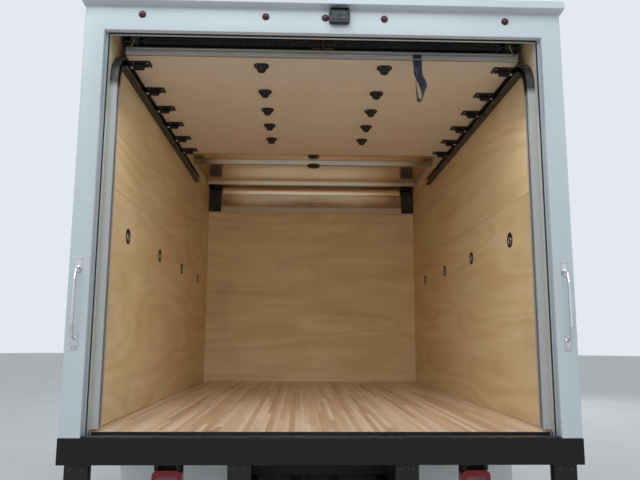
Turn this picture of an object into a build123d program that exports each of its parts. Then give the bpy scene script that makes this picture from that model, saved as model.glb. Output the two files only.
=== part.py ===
"""A twelve-foot box truck: a bonneted van cab on a ladder frame, with a dry-freight body.

The truck faces +Y and stands on Z = 0, with X = 0 on its centre line. Sizes are in millimetres.
The roll-up rear door is stored open, under the roof.
"""

import os
from math import cos, pi

from build123d import *

os.makedirs("parts", exist_ok=True)

# Chassis layout
wheelbase = 3531
nose_reach = 2399.4
front_axle_to_cab_back = 1499
cab_gap = 50

# Wheels and tyres
tyre_radius = 372
tyre_half_width = 112
rim_radius = 205
rim_half_width = 92
rim_wall = 9
wheel_track_half = 865
dual_half_spacing = 132
wheel_bore = 60
hub_reach = 30
tread_shoulder = 22

# Ladder frame
frame_half_width = 432
frame_depth = 160
frame_flange = 65
frame_web = 8
frame_bottom = 500
rail_nose_reach = 760

# Cargo body
body_half_width = 1219
deck_height = 900
cargo_half_width = 1101
cargo_length = 3705
doorway_height = 2002
doorway_half_width = 1119
header_height = 133
rear_frame_depth = 70
jamb_step_depth = 40
cap_reach = 45
cap_height = 50
cap_side_reach = 12
sill_beam_height = 119
sill_beam_depth = 69.7
floor_rise = 20
floor_thickness = 30
floor_setback = 80
floor_boards = 8
board_gap = 2
lining_thickness = 10
wall_inset = 14
front_wall_thickness = 50
ceiling_height = 2100
roof_thickness = 12
nose_radius = 110
bow_depth = 40
bow_width = 60
front_lining_height = 1796
lower_sheet_height = 1219
crossmember_depth = 90
crossmember_width = 55
crossmember_web = 7
bottom_rail_depth = 112
bottom_rail_lap = 34
ring_radius = 44
ring_height = 1030
ring_pitch = 840
first_ring = 565
rings_a_side = 4

# Roll-up door, stored open
door_half_width = 1058
door_thickness = 18
door_height = 1950
door_bottom_edge = 190
door_joints = (655, 965, 1275, 1585)
door_top_edge = 1990
door_panel_gap = 3
bottom_rail_height = 44
bottom_rail_thickness = 14
groove_places = (8, 18, 36)
groove_radius = 2.5
hinge_x = 341
hinge_plate = 76
hinge_leaf = 9
hinge_barrel = 8
hinge_barrel_length = 60
bracket_inset = 60
bracket_half_width = 34
roller_drop = 22
roller_radius = 23.6
roller_width = 12
roller_pin_radius = 6
first_roller = 285
last_roller = 1890
track_bend = 165
track_lip = 14
track_wall = 3
track_depth = 54
track_width = 40
track_end = 2777
vertical_track_y = 98
spring_shaft_y = 250
spring_shaft_height = 2057
spring_radius = 28
shaft_radius = 13
drum_radius = 38
drum_width = 46

# Cab
cab_half_width = 1005
cab_top = 2075
cab_rocker = 440
cab_floor_thickness = 45
panel = 32
door_panel = 55
panel_gap = 6
belt_height = 1200
windscreen_base = (1440, 1310)
windscreen_top = (850, 1985)
windscreen_bow = 5200
windscreen_corners = ((-860, 1345), (860, 1345), (735, 1925), (-735, 1925))
door_corners = ((95, 500), (1035, 500), (1035, 850), (1170, 1000), (1170, 1400), (700, 1945), (95, 1985))
window_corners = ((155, 1230), (1112, 1230), (1112, 1376), (668, 1888), (155, 1920))
door_inner_x = 765
hood_half_width = 757
hood_back = 1506
hood_lip = 1009
grille_half_width = 517
grille_low = 646
grille_frame = 40
grille_slots = 6
grille_pitch = 52
grille_slot_height = 30
lamp_z_span = (765, 965)
lamp_back = 2150
front_bumper_low = 440
front_bumper_back = 2044
firewall_y = 1300
wheel_box_y = 1105
hood_front = (2235, 1095)
hood_crown = 4200
nose_face = 2385
kingpin_x = 735
arch_radius = 432
liner_radius = 470
liner_wall = 8
liner_inner_x = 540
liner_outer_x = 935
seat_fit = 0.3
far = 5000

# Places worked out from the sizes above
frame_top = frame_bottom + frame_depth
cab_floor = frame_top + seat_fit + cab_floor_thickness
body_length = cargo_length + lining_thickness + front_wall_thickness
overall_length = cap_reach + body_length + cab_gap + nose_reach
rear_y = cap_reach - overall_length / 2
cab_back_y = rear_y + body_length + cab_gap
front_axle_y = cab_back_y + front_axle_to_cab_back
rear_axle_y = front_axle_y - wheelbase
axle_z = tyre_radius
floor_top = deck_height + floor_rise
floor_bottom = floor_top - floor_thickness
crossmember_bottom = floor_bottom - crossmember_depth
ceiling_z = deck_height + ceiling_height
roof_top = ceiling_z + roof_thickness
header_bottom = deck_height + doorway_height
header_top = header_bottom + header_height
wall_outer = body_half_width - wall_inset
wall_inner = cargo_half_width + lining_thickness
front_lining_y = rear_y + cargo_length
front_wall_y = front_lining_y + lining_thickness
body_front_y = rear_y + body_length
door_z = deck_height + door_height
door_under = door_z - seat_fit
bottom_rail_front = rear_y + door_bottom_edge + door_panel_gap / 2 - seat_fit
bottom_rail_back = bottom_rail_front - bottom_rail_thickness


def block(x_span, y_span, z_span, mode=Mode.ADD):
    """A box between two limits on each axis, in the part that is open."""
    spans = [sorted(s) for s in (x_span, y_span, z_span)]
    with Locations([tuple((a + b) / 2 for a, b in spans)]):
        Box(*[b - a for a, b in spans], mode=mode)


def round_bar(start, end, radius, mode=Mode.ADD):
    """A straight round bar from one point to another, in the part that is open."""
    axis = Vector(*end) - Vector(*start)
    with Locations(Plane(origin=start, z_dir=axis.normalized()).location):
        Cylinder(radius, axis.length, align=(Align.CENTER, Align.CENTER, Align.MIN), mode=mode)


def write(piece, name):
    """Names a finished piece and writes its file."""
    piece.part.label = name
    export_step(piece.part, f"parts/{name}.step")


def across(y, z):
    """A plane whose normal runs along +X, through the given Y and Z; its axes are Y and Z."""
    return Plane(origin=(0, y, z), x_dir=(0, 1, 0), z_dir=(1, 0, 0))


# Chassis frame
def frame_rails():
    """Two pressed C channels, open towards each other."""
    with BuildPart() as rails:
        for side in (-1, 1):
            outer, inner = side * frame_half_width, side * (frame_half_width - frame_flange)
            web = side * (frame_half_width - frame_web)
            y_span = (rear_y + 140, front_axle_y + rail_nose_reach)
            block((outer, inner), y_span, (frame_bottom, frame_top))
            block((web, inner), y_span, (frame_bottom + frame_web, frame_top - frame_web), Mode.SUBTRACT)
    write(rails, "frame_rails")


member_places = (200, 900, 2750, 3600, 4400)
member_half_width = 45
member_depth = 70
member_wall = 7
member_drop = 12
front_member_y = 700
front_member_half_width = 50


def frame_crossmembers():
    """Channels between the webs of the rails, open downwards, and the front one under the radiator."""
    half = frame_half_width - frame_web
    top = frame_top - frame_web - member_drop
    low = top - member_depth
    inner = member_half_width - member_wall
    with BuildPart() as members:
        for place in member_places:
            y = rear_y + place
            block((-half, half), (y - member_half_width, y + member_half_width), (low, top))
            block((-half, half), (y - inner, y + inner), (low, top - member_wall), Mode.SUBTRACT)
        front = front_axle_y + front_member_y
        block((-half, half), (front - front_member_half_width, front + front_member_half_width),
              (frame_bottom + 10, top - 20))
    write(members, "frame_crossmembers")


spring_seat_x = 484
coil_radius = 47
coil_wire = 14
coil_low = 406
coil_top = 640
beam_z = 330
eye_radius = 36
eye_half_height = 48
running_gap = 0.4
arm_x = (250, 310)
arm_reach = 700
arm_half_depth = 20
arm_bracket_width = 44


def front_axle():
    """A forged beam that dips under the engine, with an eye for each kingpin and a seat for each coil."""
    with BuildPart() as beam:
        with BuildSketch(Plane.XZ.offset(-front_axle_y)):
            with BuildLine():
                FilletPolyline(
                    (0, beam_z - 45), (330, beam_z - 45), (480, beam_z - 10), (kingpin_x - 70, axle_z - 40),
                    (kingpin_x, axle_z - 40), (kingpin_x, axle_z + 36), (kingpin_x - 80, axle_z + 36),
                    (450, beam_z + 60), (330, beam_z + 35), (0, beam_z + 35), radius=12,
                )
                mirror(about=Plane.YZ)
            make_face()
        extrude(amount=30, both=True)
        for side in (-1, 1):
            eye = (side * kingpin_x, front_axle_y, axle_z - eye_half_height)
            round_bar(eye, (eye[0], eye[1], axle_z + eye_half_height), eye_radius)
            seat = (side * spring_seat_x, front_axle_y, beam_z + 30)
            round_bar(seat, (seat[0], seat[1], coil_low), coil_radius + 8)
            arm_z = (beam_z - arm_half_depth, beam_z + arm_half_depth)
            foot_y = (front_axle_y - arm_reach - 20, front_axle_y - arm_reach + 30)
            foot_x = frame_half_width - frame_web
            bracket_x = (side * (foot_x - arm_bracket_width), side * foot_x)
            block((side * arm_x[0], side * arm_x[1]), (front_axle_y - arm_reach, front_axle_y), arm_z)
            block((side * arm_x[0], side * foot_x), foot_y, arm_z)
            block(bracket_x, foot_y, (arm_z[0], frame_bottom - seat_fit))
    write(beam, "front_axle")


fork_reach = 74
fork_plate = 22
fork_ear = 20
disc_radius = 150
disc_place = 24
disc_thickness = 14
hub_radius = 44


def knuckle(side, name):
    """A steering knuckle: a fork over the beam's eye, a brake disc and the hub that carries the wheel."""
    x = side * kingpin_x
    root = side * (kingpin_x + eye_radius + 6)
    with BuildPart() as piece:
        block((root, root + side * fork_plate), (front_axle_y - 45, front_axle_y + 45),
              (axle_z - fork_reach, axle_z + fork_reach))
        ear_gap = eye_half_height + running_gap
        for low in (axle_z + ear_gap, axle_z - ear_gap - fork_ear):
            block((x, root + side * 8), (front_axle_y - 32, front_axle_y + 32), (low, low + fork_ear))
            round_bar((x, front_axle_y, low), (x, front_axle_y, low + fork_ear), 32)
        hub_face = side * (wheel_track_half + hub_reach - seat_fit)
        round_bar((root, front_axle_y, axle_z), (hub_face, front_axle_y, axle_z), hub_radius)
        disc_back = root + side * disc_place
        disc_face = disc_back + side * disc_thickness
        round_bar((disc_back, front_axle_y, axle_z), (disc_face, front_axle_y, axle_z), disc_radius)
        block((root - side * 20, root), (front_axle_y - 150, front_axle_y - 30),
              (axle_z - fork_reach, axle_z - fork_reach + 20))
    write(piece, name)


# Wheels
def tyre_section(x):
    """The corners of a tyre's section above the wheel's axis, centred at x."""
    middle = (rim_radius + tyre_radius) / 2
    tread = tyre_half_width - tread_shoulder
    return [
        (x - rim_half_width, rim_radius), (x - tyre_half_width, middle), (x - tread, tyre_radius),
        (x + tread, tyre_radius), (x + tyre_half_width, middle), (x + rim_half_width, rim_radius),
    ]


def rim_section(x, out, dish):
    """The corners of a pressed wheel's section: its barrel, and a disc that stands dish from the centre."""
    r, w, t = rim_radius - seat_fit, rim_half_width, rim_wall
    face = x + out * dish
    return [
        (x - out * w, r), (x + out * w, r), (x + out * w, r - t), (face + out * 16, r - t - 4),
        (face + out * 16, 118), (face + out * 34, 100), (face + out * 34, wheel_bore - 1),
        (face + out * 24, wheel_bore - 1), (face + out * 24, 94), (face + out * 6, 112),
        (face + out * 6, r - t - 10), (face - out * 4, r - t), (x - out * w, r - t),
    ]


hand_holes = 8
hand_hole_radius = 19
hand_hole_circle = 150


def wheel(side, y, centres, dishes, name):
    """The tyres and the rims of one wheel, single or twin, turned about the axle."""
    axle = Plane(origin=(0, y, axle_z), x_dir=(1, 0, 0), z_dir=(0, -1, 0))
    spin = Axis((0, y, axle_z), (1, 0, 0))
    with BuildPart() as tyres:
        with BuildSketch(axle):
            for centre in centres:
                with BuildLine():
                    Polyline(*tyre_section(side * centre), close=True)
                make_face()
        revolve(axis=spin)
    write(tyres, f"tyre_{name}")
    with BuildPart() as rims:
        with BuildSketch(axle):
            for centre, dish in zip(centres, dishes):
                out = side if dish > 0 else -side
                with BuildLine():
                    Polyline(*rim_section(side * centre, out, abs(dish)), close=True)
                make_face()
        revolve(axis=spin)
        with BuildSketch(across(y, axle_z)):
            with PolarLocations(hand_hole_circle, hand_holes):
                Circle(hand_hole_radius)
        extrude(amount=2 * body_half_width, both=True, mode=Mode.SUBTRACT)
        hub_in = side * (min(centres) + hub_reach)
        hub_out = side * (max(centres) + (dishes[-1] + 34 if dishes[-1] > 0 else dishes[-1] + 60))
        with BuildSketch(across(y, axle_z).offset(hub_in)):
            Circle(wheel_bore)
        extrude(amount=hub_out - hub_in)
    write(rims, f"rim_{name}")


rear_axle_radius = 52
drum_brake_radius = 150
drum_brake_width = 88
leaf_x = 478
leaf_width = 64
leaf_half_length = 690
leaf_eye_z = 530
leaf_shares = (1.0, 0.78, 0.56, 0.36)
leaf_thickness = 13
leaf_rise = 42
u_bolt_radius = 5


def rear_axle():
    """A tubular axle with a round differential housing, a drum at each end and clamps for the springs."""
    spin = Axis((0, rear_axle_y, axle_z), (1, 0, 0))
    inner = wheel_track_half - dual_half_spacing
    hub, brake = inner + hub_reach - seat_fit, inner - 4
    brake_back = brake - drum_brake_width
    with BuildPart() as axle:
        with BuildSketch(Plane(origin=(0, rear_axle_y, axle_z), x_dir=(1, 0, 0), z_dir=(0, -1, 0))):
            with BuildLine():
                tube = rear_axle_radius
                drum, shoulder = drum_brake_radius, brake_back - 12
                Polyline(
                    (0, 0), (hub, 0), (hub, tube), (brake, tube), (brake, drum), (brake_back, drum),
                    (shoulder, 70), (shoulder, tube), (170, tube), (95, 150), (0, 165), close=True,
                )
            make_face()
            mirror(about=Plane.YZ)
        revolve(axis=spin)
        round_bar((0, rear_axle_y + 100, axle_z), (0, rear_axle_y + 260, axle_z + 25), 46)
        top = leaf_eye_z - leaf_rise
        pack = leaf_thickness * len(leaf_shares)
        for side in (-1, 1):
            x0, x1 = side * (leaf_x - leaf_width / 2 - 8), side * (leaf_x + leaf_width / 2 + 8)
            block((x0, x1), (rear_axle_y - 70, rear_axle_y + 70), (top + 2 * seat_fit, top + 22))
            block((x0, x1), (rear_axle_y - 45, rear_axle_y + 45), (axle_z + 20, top - pack - seat_fit))
            for end in (-1, 1):
                for x in (x0, x1):
                    y = rear_axle_y + end * 58
                    round_bar((x, y, axle_z - 70), (x, y, top + 40), u_bolt_radius)
            block((x0, x1), (rear_axle_y - 70, rear_axle_y + 70), (axle_z - 70, axle_z - 54))
    write(axle, "rear_axle")


def springs():
    """The front coils, each as its sleeve with a tower on the rail, and the rear packs of leaves."""
    with BuildPart() as packs:
        for side in (-1, 1):
            x, low = side * spring_seat_x, coil_low + seat_fit
            with BuildSketch(Plane(origin=(x, front_axle_y, low))):
                Circle(coil_radius)
                Circle(coil_radius - coil_wire, mode=Mode.SUBTRACT)
            extrude(amount=coil_top - low)
            block((side * (frame_half_width + seat_fit), side * (spring_seat_x + 50)),
                  (front_axle_y - 60, front_axle_y + 60), (coil_top, coil_top + 10))
            block((side * (frame_half_width + seat_fit), side * (frame_half_width + 8)),
                  (front_axle_y - 60, front_axle_y + 60), (coil_top - 60, coil_top))
            x0, x1 = side * (leaf_x - leaf_width / 2), side * (leaf_x + leaf_width / 2)
            for n, share in enumerate(leaf_shares):
                reach = leaf_half_length * share
                with BuildSketch(Plane.YZ.offset(min(x0, x1))):
                    with BuildLine():
                        sag = leaf_rise * share * share
                        base = leaf_eye_z - leaf_rise - n * leaf_thickness
                        tip, foot = base + sag, base - leaf_thickness
                        upper = ThreePointArc((rear_axle_y - reach, tip), (rear_axle_y, base),
                                              (rear_axle_y + reach, tip))
                        lower = ThreePointArc((rear_axle_y - reach, foot + sag), (rear_axle_y, foot),
                                              (rear_axle_y + reach, foot + sag))
                        Line(upper @ 0, lower @ 0)
                        Line(upper @ 1, lower @ 1)
                    make_face()
                extrude(amount=leaf_width)
            for end in (-1, 1):
                y = rear_axle_y + end * (leaf_half_length - 20)
                block((side * (frame_half_width + seat_fit), x1), (y - 30, y + 30),
                      (leaf_eye_z - leaf_thickness - 3, frame_bottom + 100))
    write(packs, "springs")


# Drive line
engine_front = 640
engine_back = 8
engine_half_width = 270
engine_bottom = 540
engine_top = 1060
sump_depth = 100
gearbox_length = 700
shaft_tube_radius = 38
radiator_y = 730
radiator_half_width = 360
radiator_top = 1010
radiator_tank = 40


def drive_line():
    """The engine as one plain block, the gearbox and the propeller shaft behind it, and the radiator."""
    with BuildPart() as block_and_box:
        y0, y1 = front_axle_y + engine_back, front_axle_y + engine_front
        block((-engine_half_width, engine_half_width), (y0, y1), (engine_bottom, engine_top))
        block((-220, 220), (y0 + 60, y1 - 60), (engine_bottom - sump_depth, engine_bottom))
        with BuildSketch(Plane.XZ.offset(-y0)):
            with Locations((0, engine_bottom)):
                Circle(112)
        with BuildSketch(Plane.XZ.offset(-(y0 - gearbox_length))):
            with Locations((0, 530)):
                Circle(72)
        loft()
        for side in (-1, 1):
            block((side * engine_half_width, side * (frame_half_width - frame_web - seat_fit)),
                  (y0 + 250, y0 + 330), (600, 640))
        round_bar((0, y0 - gearbox_length, 530), (0, rear_axle_y + 268, axle_z + 26), shaft_tube_radius)
        y, half = front_axle_y + radiator_y, radiator_half_width
        block((-half, half), (y - 30, y + 30), (frame_top - 32 + seat_fit, radiator_top))
        for side in (-1, 1):
            block((side * half, side * (half + radiator_tank)), (y - 34, y + 34),
                  (frame_top + seat_fit, radiator_top))
    write(block_and_box, "drive_line")


tank_length = 900
tank_width = 378
tank_height = 290
tank_corner = 60
tank_z = 500
tank_front = 1330
tank_clearance = 22
band_width = 40
band_thickness = 4
band_shares = (0.25, 0.75)


def fuel_tank():
    """A pressed tank outside the left rail, with two bands round it that hang from the rail's brackets."""
    edge = -(frame_half_width + tank_clearance)
    y0 = front_axle_y - tank_front
    with BuildPart() as tank:
        with BuildSketch(Plane.XZ.offset(-y0)):
            with Locations((edge - tank_width / 2, tank_z)):
                RectangleRounded(tank_width, tank_height, tank_corner)
        extrude(amount=tank_length)
        for share in band_shares:
            y = y0 - tank_length * (1 - share)
            with BuildSketch(Plane.XZ.offset(-(y + band_width / 2))):
                with Locations((edge - tank_width / 2, tank_z)):
                    RectangleRounded(tank_width + 2 * band_thickness, tank_height + 2 * band_thickness,
                                     tank_corner + band_thickness)
            extrude(amount=band_width)
            block((-(frame_half_width + seat_fit), edge - 30), (y - band_width / 2, y + band_width / 2),
                  (tank_z + 90, tank_z + tank_height / 2 - 5))
    write(tank, "fuel_tank")


silencer_front = 1250
silencer_length = 620
silencer_width = 240
silencer_height = 170
silencer_x = frame_half_width + 160
silencer_z = 520
pipe_radius = 30
pipe_in = 420
pipe_out = 140
pipe_drop = 50
pipe_bend = 70
hanger_places = (100, 500)
hanger_half_width = 18


def exhaust():
    """A silencer outside the right rail, with a tail pipe that turns out ahead of the rear wheel."""
    x, z = silencer_x, silencer_z
    front = front_axle_y - silencer_front
    back = front - silencer_length
    turn = back - pipe_out
    run = body_half_width - 40 - x
    bend_plane = Plane(origin=(x, turn, z), x_dir=(0, 1, 0), z_dir=(-pipe_drop, 0, -run))
    with BuildPart() as pipe:
        with BuildSketch(Plane(origin=(x, front, z), x_dir=(1, 0, 0), z_dir=(0, -1, 0))):
            SlotOverall(silencer_width, silencer_height)
        extrude(amount=silencer_length)
        round_bar((x, front + pipe_in, z), (x, front, z), pipe_radius)
        with BuildLine(bend_plane) as tail:
            FilletPolyline((pipe_out, 0), (0, 0), (0, (run ** 2 + pipe_drop ** 2) ** 0.5), radius=pipe_bend)
        with BuildSketch(Plane(origin=tail.line @ 0, z_dir=tail.line % 0)):
            Circle(pipe_radius)
        sweep(path=tail.line)
        for place in hanger_places:
            y = front - place
            block((frame_half_width + seat_fit, x - 40), (y - hanger_half_width, y + hanger_half_width),
                  (z + 50, z + 90))
    write(pipe, "exhaust")


# Cargo body
longitudinal_width = 60
first_crossmember = 240
crossmember_count = 10


def body_subframe():
    """Two long sills on the rails, with a row of channels across them under the floor."""
    with BuildPart() as subframe:
        for side in (-1, 1):
            x1 = side * frame_half_width
            block((x1, x1 - side * longitudinal_width), (rear_y + 140, front_wall_y - 40),
                  (frame_top + seat_fit, crossmember_bottom - seat_fit))
        half = wall_outer - 24
        low, high = crossmember_bottom + crossmember_web, floor_bottom - seat_fit - crossmember_web
        pitch = (cargo_length - 60 - first_crossmember) / (crossmember_count - 1)
        for n in range(crossmember_count):
            y = rear_y + first_crossmember + n * pitch
            block((-half, half), (y, y + crossmember_width), (crossmember_bottom, floor_bottom - seat_fit))
            block((-half, half), (y + crossmember_web, y + crossmember_width), (low, high), Mode.SUBTRACT)
    write(subframe, "body_subframe")


def cargo_floor():
    """Laminated hardwood boards, laid lengthways with a fine joint between them."""
    width = 2 * cargo_half_width / floor_boards
    y_span = (rear_y + floor_setback, front_lining_y - seat_fit)
    with BuildPart() as floor:
        block((-cargo_half_width, cargo_half_width), y_span, (floor_bottom, floor_top))
        for n in range(1, floor_boards):
            x = -cargo_half_width + n * width
            block((x - board_gap / 2, x + board_gap / 2), y_span, (floor_top - 4, floor_top), Mode.SUBTRACT)
    write(floor, "cargo_floor")


def sill_beam():
    """The rear sill: a deep channel that the doorway's posts stand on, with its threshold plate."""
    y0, y1 = rear_y, rear_y + sill_beam_depth
    z0, z1 = deck_height - sill_beam_height, deck_height - seat_fit
    half = body_half_width + 3
    plate, y2 = doorway_half_width - seat_fit, rear_y + floor_setback - seat_fit
    with BuildPart() as beam:
        block((-half, half), (y0, y1), (z0, z1))
        block((-half, half), (y0 + 8, y1), (z0 + 8, z1 - 8), Mode.SUBTRACT)
        for side in (-1, 1):
            block((side * half, side * (half - 8)), (y0, y1), (z0, z1))
        block((-plate, plate), (y0 + 2, y0 + jamb_step_depth - seat_fit), (z1, deck_height + 5))
        block((-(cargo_half_width - 1), cargo_half_width - 1), (y0 + 2, y2 - 8), (z1, deck_height + 5))
        block((-(cargo_half_width - 8), cargo_half_width - 8), (y2 - 8, y2), (z1, floor_top - 1))
    write(beam, "sill_beam")


def rear_frame():
    """The doorway: posts and header with a stepped jamb, and a drip cap over them."""
    z0 = deck_height
    with BuildPart() as frame:
        block((-body_half_width, body_half_width), (rear_y, rear_y + rear_frame_depth), (z0, header_top))
        block((-doorway_half_width, doorway_half_width), (rear_y, rear_y + jamb_step_depth),
              (z0, header_bottom), Mode.SUBTRACT)
        block((-cargo_half_width - 2, cargo_half_width + 2), (rear_y, rear_y + rear_frame_depth),
              (z0, header_bottom), Mode.SUBTRACT)
        reach = body_half_width + cap_side_reach
        edge, top = rear_y - cap_reach, header_top + cap_height
        back = rear_y + rear_frame_depth
        with BuildSketch(Plane.YZ.offset(-reach)):
            with BuildLine():
                Polyline((edge, header_top + 6), (edge, top - 6), (edge + 6, top), (back, top),
                         (back, header_top), (rear_y - 4, header_top), close=True)
            make_face()
        extrude(amount=2 * reach)
    write(frame, "rear_frame")


def side_wall(side, name):
    """One side wall, as thick as its posts and skin, from the bottom rail to the roof rail."""
    with BuildPart() as wall:
        block((side * wall_inner, side * wall_outer), (rear_y + rear_frame_depth, front_wall_y - seat_fit),
              (floor_bottom, ceiling_z - seat_fit))
        block((side * wall_inner, side * wall_outer), (front_wall_y - 64, front_wall_y),
              (ceiling_z - 26, ceiling_z), Mode.SUBTRACT)
    write(wall, f"side_wall_{name}")


def cargo_lining():
    """Plywood sheets on the side walls, two high with a fine seam, and one sheet on the front wall."""
    y_span = (rear_y + rear_frame_depth + seat_fit, front_lining_y - seat_fit)
    seam, gap = floor_top + lower_sheet_height, 1
    top = ceiling_z - bow_depth - 2
    half = cargo_half_width + seat_fit
    with BuildPart() as lining:
        for side in (-1, 1):
            for z_span in ((floor_top + 2, seam - gap), (seam + gap, top)):
                block((side * half, side * (wall_inner - seat_fit)), y_span, z_span)
        with BuildSketch(Plane.YZ):
            for n in range(rings_a_side):
                with Locations((rear_y + first_ring + n * ring_pitch, deck_height + ring_height)):
                    Circle(ring_radius)
        extrude(amount=body_half_width, both=True, mode=Mode.SUBTRACT)
        block((-half, half), (front_lining_y, front_wall_y - seat_fit),
              (floor_top + 2, deck_height + front_lining_height))
    write(lining, "cargo_lining")


def tie_rings():
    """Recessed tie-down dishes in the linings, each with a steel ring lying in it."""
    with BuildPart() as rings:
        for side in (-1, 1):
            for n in range(rings_a_side):
                y = rear_y + first_ring + n * ring_pitch
                z = deck_height + ring_height
                face = side * (cargo_half_width - 3)
                deep = side * (wall_inner - seat_fit)
                flat = Plane(origin=(face, y, z), x_dir=(0, 1, 0), z_dir=(side, 0, 0))
                with BuildSketch(flat):
                    Circle(ring_radius - seat_fit)
                extrude(amount=abs(deep - face))
                with BuildSketch(flat):
                    Circle(ring_radius - 14)
                extrude(amount=8, mode=Mode.SUBTRACT)
                with BuildSketch(flat.offset(2)):
                    Rectangle(2 * (ring_radius - 14) + 1, 10)
                extrude(amount=7)
    write(rings, "tie_rings")


def front_wall():
    """The bulkhead behind the cab, bare metal inside above its plywood."""
    with BuildPart() as wall:
        block((-wall_outer, wall_outer), (front_wall_y, body_front_y),
              (floor_bottom, roof_top - nose_radius - seat_fit))
        fillet(wall.faces().sort_by(Axis.Y)[-1].edges().filter_by(Axis.Z), 40)
    write(wall, "front_wall")


trim_height = 64
post_width = 128
post_depth = 36


def front_trim():
    """The angle over the front lining, and the dark corner posts above it."""
    low = deck_height + front_lining_height + seat_fit
    with BuildPart() as trim:
        half = cargo_half_width - 2
        block((-half, half), (front_lining_y - 22, front_wall_y - seat_fit), (low, low + 6))
        block((-half, half), (front_lining_y - 22, front_lining_y - 16), (low, low + trim_height))
        for side in (-1, 1):
            a, b = side * (cargo_half_width + seat_fit), side * (cargo_half_width + seat_fit - post_width)
            with BuildSketch(Plane.XY.offset(low + 6)):
                with BuildLine():
                    Polyline((a, front_wall_y - seat_fit), (a, front_lining_y - post_depth),
                             (a - side * 6, front_lining_y - post_depth), (b, front_wall_y - 12),
                             (b, front_wall_y - seat_fit), close=True)
                make_face()
            extrude(amount=ceiling_z - bow_depth - 14 - (low + 6))
    write(trim, "front_trim")


roof_half_width = wall_outer - 30


def roof():
    """One roof sheet, which turns down over a rounded nose into the front wall."""
    y0, y1 = rear_y + rear_frame_depth + seat_fit, body_front_y
    r, t = nose_radius, roof_thickness
    with BuildPart() as sheet:
        with BuildSketch(Plane.YZ.offset(-roof_half_width)):
            with BuildLine():
                top = Line((y0, roof_top), (y1 - r, roof_top))
                bend = JernArc(top @ 1, (1, 0), r, -90)
                foot = Line(bend @ 1, (y1 - t, roof_top - r))
                inner_bend = JernArc(foot @ 1, (0, 1), r - t, 90)
                under = Line(inner_bend @ 1, (y0, roof_top - t))
                Line(under @ 1, (y0, roof_top))
            make_face()
        extrude(amount=2 * roof_half_width)
    write(sheet, "roof")


bow_places = (370, 1110, 1910, 2710, 3510)
bow_flange = 14
bow_taper = 10
bow_sheet = 4


def roof_bows():
    """Hat-section bows under the roof sheet, from wall to wall."""
    half = wall_inner - 1
    root = bow_width / 2
    wide, crown = root + bow_flange, root - bow_taper
    high, low, under = ceiling_z - seat_fit, ceiling_z - bow_sheet, ceiling_z - bow_depth
    with BuildPart() as bows:
        for place in bow_places:
            y = rear_y + place
            with BuildSketch(Plane.YZ.offset(-half)):
                with BuildLine():
                    Polyline((y - wide, high), (y + wide, high), (y + wide, low), (y + root, low),
                             (y + crown, under), (y - crown, under), (y - root, low), (y - wide, low),
                             close=True)
                make_face()
            extrude(amount=2 * half)
    write(bows, "roof_bows")


rail_height = 62
rail_corner = 40
rail_wall = 5
rail_reach = body_half_width - 3


def body_rails():
    """The rounded rails along the roof's edges, and the flat rails along the floor's edges."""
    y_span = (rear_y + rear_frame_depth + seat_fit, body_front_y)
    inner, face = roof_half_width + seat_fit, wall_outer + seat_fit
    low, high = ceiling_z - rail_height, roof_top + 3
    shoulder, crown = high - rail_corner, rail_reach - rail_corner
    bulge = rail_corner * cos(pi / 4)
    with BuildPart() as rails:
        for side in (-1, 1):
            with BuildSketch(Plane.XZ.offset(-y_span[0])):
                with BuildLine():
                    Polyline((side * face, low), (side * rail_reach, low), (side * rail_reach, shoulder))
                    ThreePointArc((side * rail_reach, shoulder), (side * (crown + bulge), shoulder + bulge),
                                  (side * crown, high))
                    Polyline((side * crown, high), (side * inner, high), (side * inner, ceiling_z),
                             (side * face, ceiling_z), (side * face, low))
                make_face()
            extrude(amount=-(y_span[1] - y_span[0]))
            block((side * inner, side * rail_reach), (front_wall_y, body_front_y),
                  (roof_top - nose_radius, shoulder))
        with BuildSketch(Plane.YZ):
            with Locations((body_front_y, high)):
                Rectangle(2 * nose_radius, 2 * nose_radius)
            with Locations((body_front_y - nose_radius, high - nose_radius)):
                Circle(nose_radius + 2, mode=Mode.SUBTRACT)
        extrude(amount=far, both=True, mode=Mode.SUBTRACT)
        low, root, shelf = floor_bottom - bottom_rail_depth + 14, wall_outer - 22, floor_bottom - 8
        for side in (-1, 1):
            hollow_x = (side * root, side * (rail_reach - rail_wall))
            block((side * root, side * rail_reach), y_span, (low, floor_bottom - seat_fit))
            block(hollow_x, y_span, (low + rail_wall, shelf), Mode.SUBTRACT)
            block((side * face, side * rail_reach), y_span, (shelf, floor_bottom + bottom_rail_lap))
    write(rails, "body_rails")


# Roll-up door
def roll_door():
    """The door's sections, lying open under the roof, and the rail on the bottom section's edge."""
    edges = (door_bottom_edge, *door_joints, door_top_edge)
    with BuildPart() as sections:
        for low, high in zip(edges, edges[1:]):
            y_span = (rear_y + low + door_panel_gap / 2, rear_y + high - door_panel_gap / 2)
            block((-door_half_width, door_half_width), y_span, (door_z, door_z + door_thickness))
    write(sections, "door_sections")
    middle = (bottom_rail_front + bottom_rail_back) / 2
    with BuildPart() as rail:
        with BuildSketch(Plane.YZ.offset(-door_half_width)):
            with Locations((middle, door_z + bottom_rail_height / 2)):
                Rectangle(bottom_rail_thickness, bottom_rail_height)
            for groove in groove_places:
                with Locations((bottom_rail_back, door_z + groove)):
                    Circle(groove_radius, mode=Mode.SUBTRACT)
        extrude(amount=2 * door_half_width)
    write(rail, "door_bottom_rail")


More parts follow.
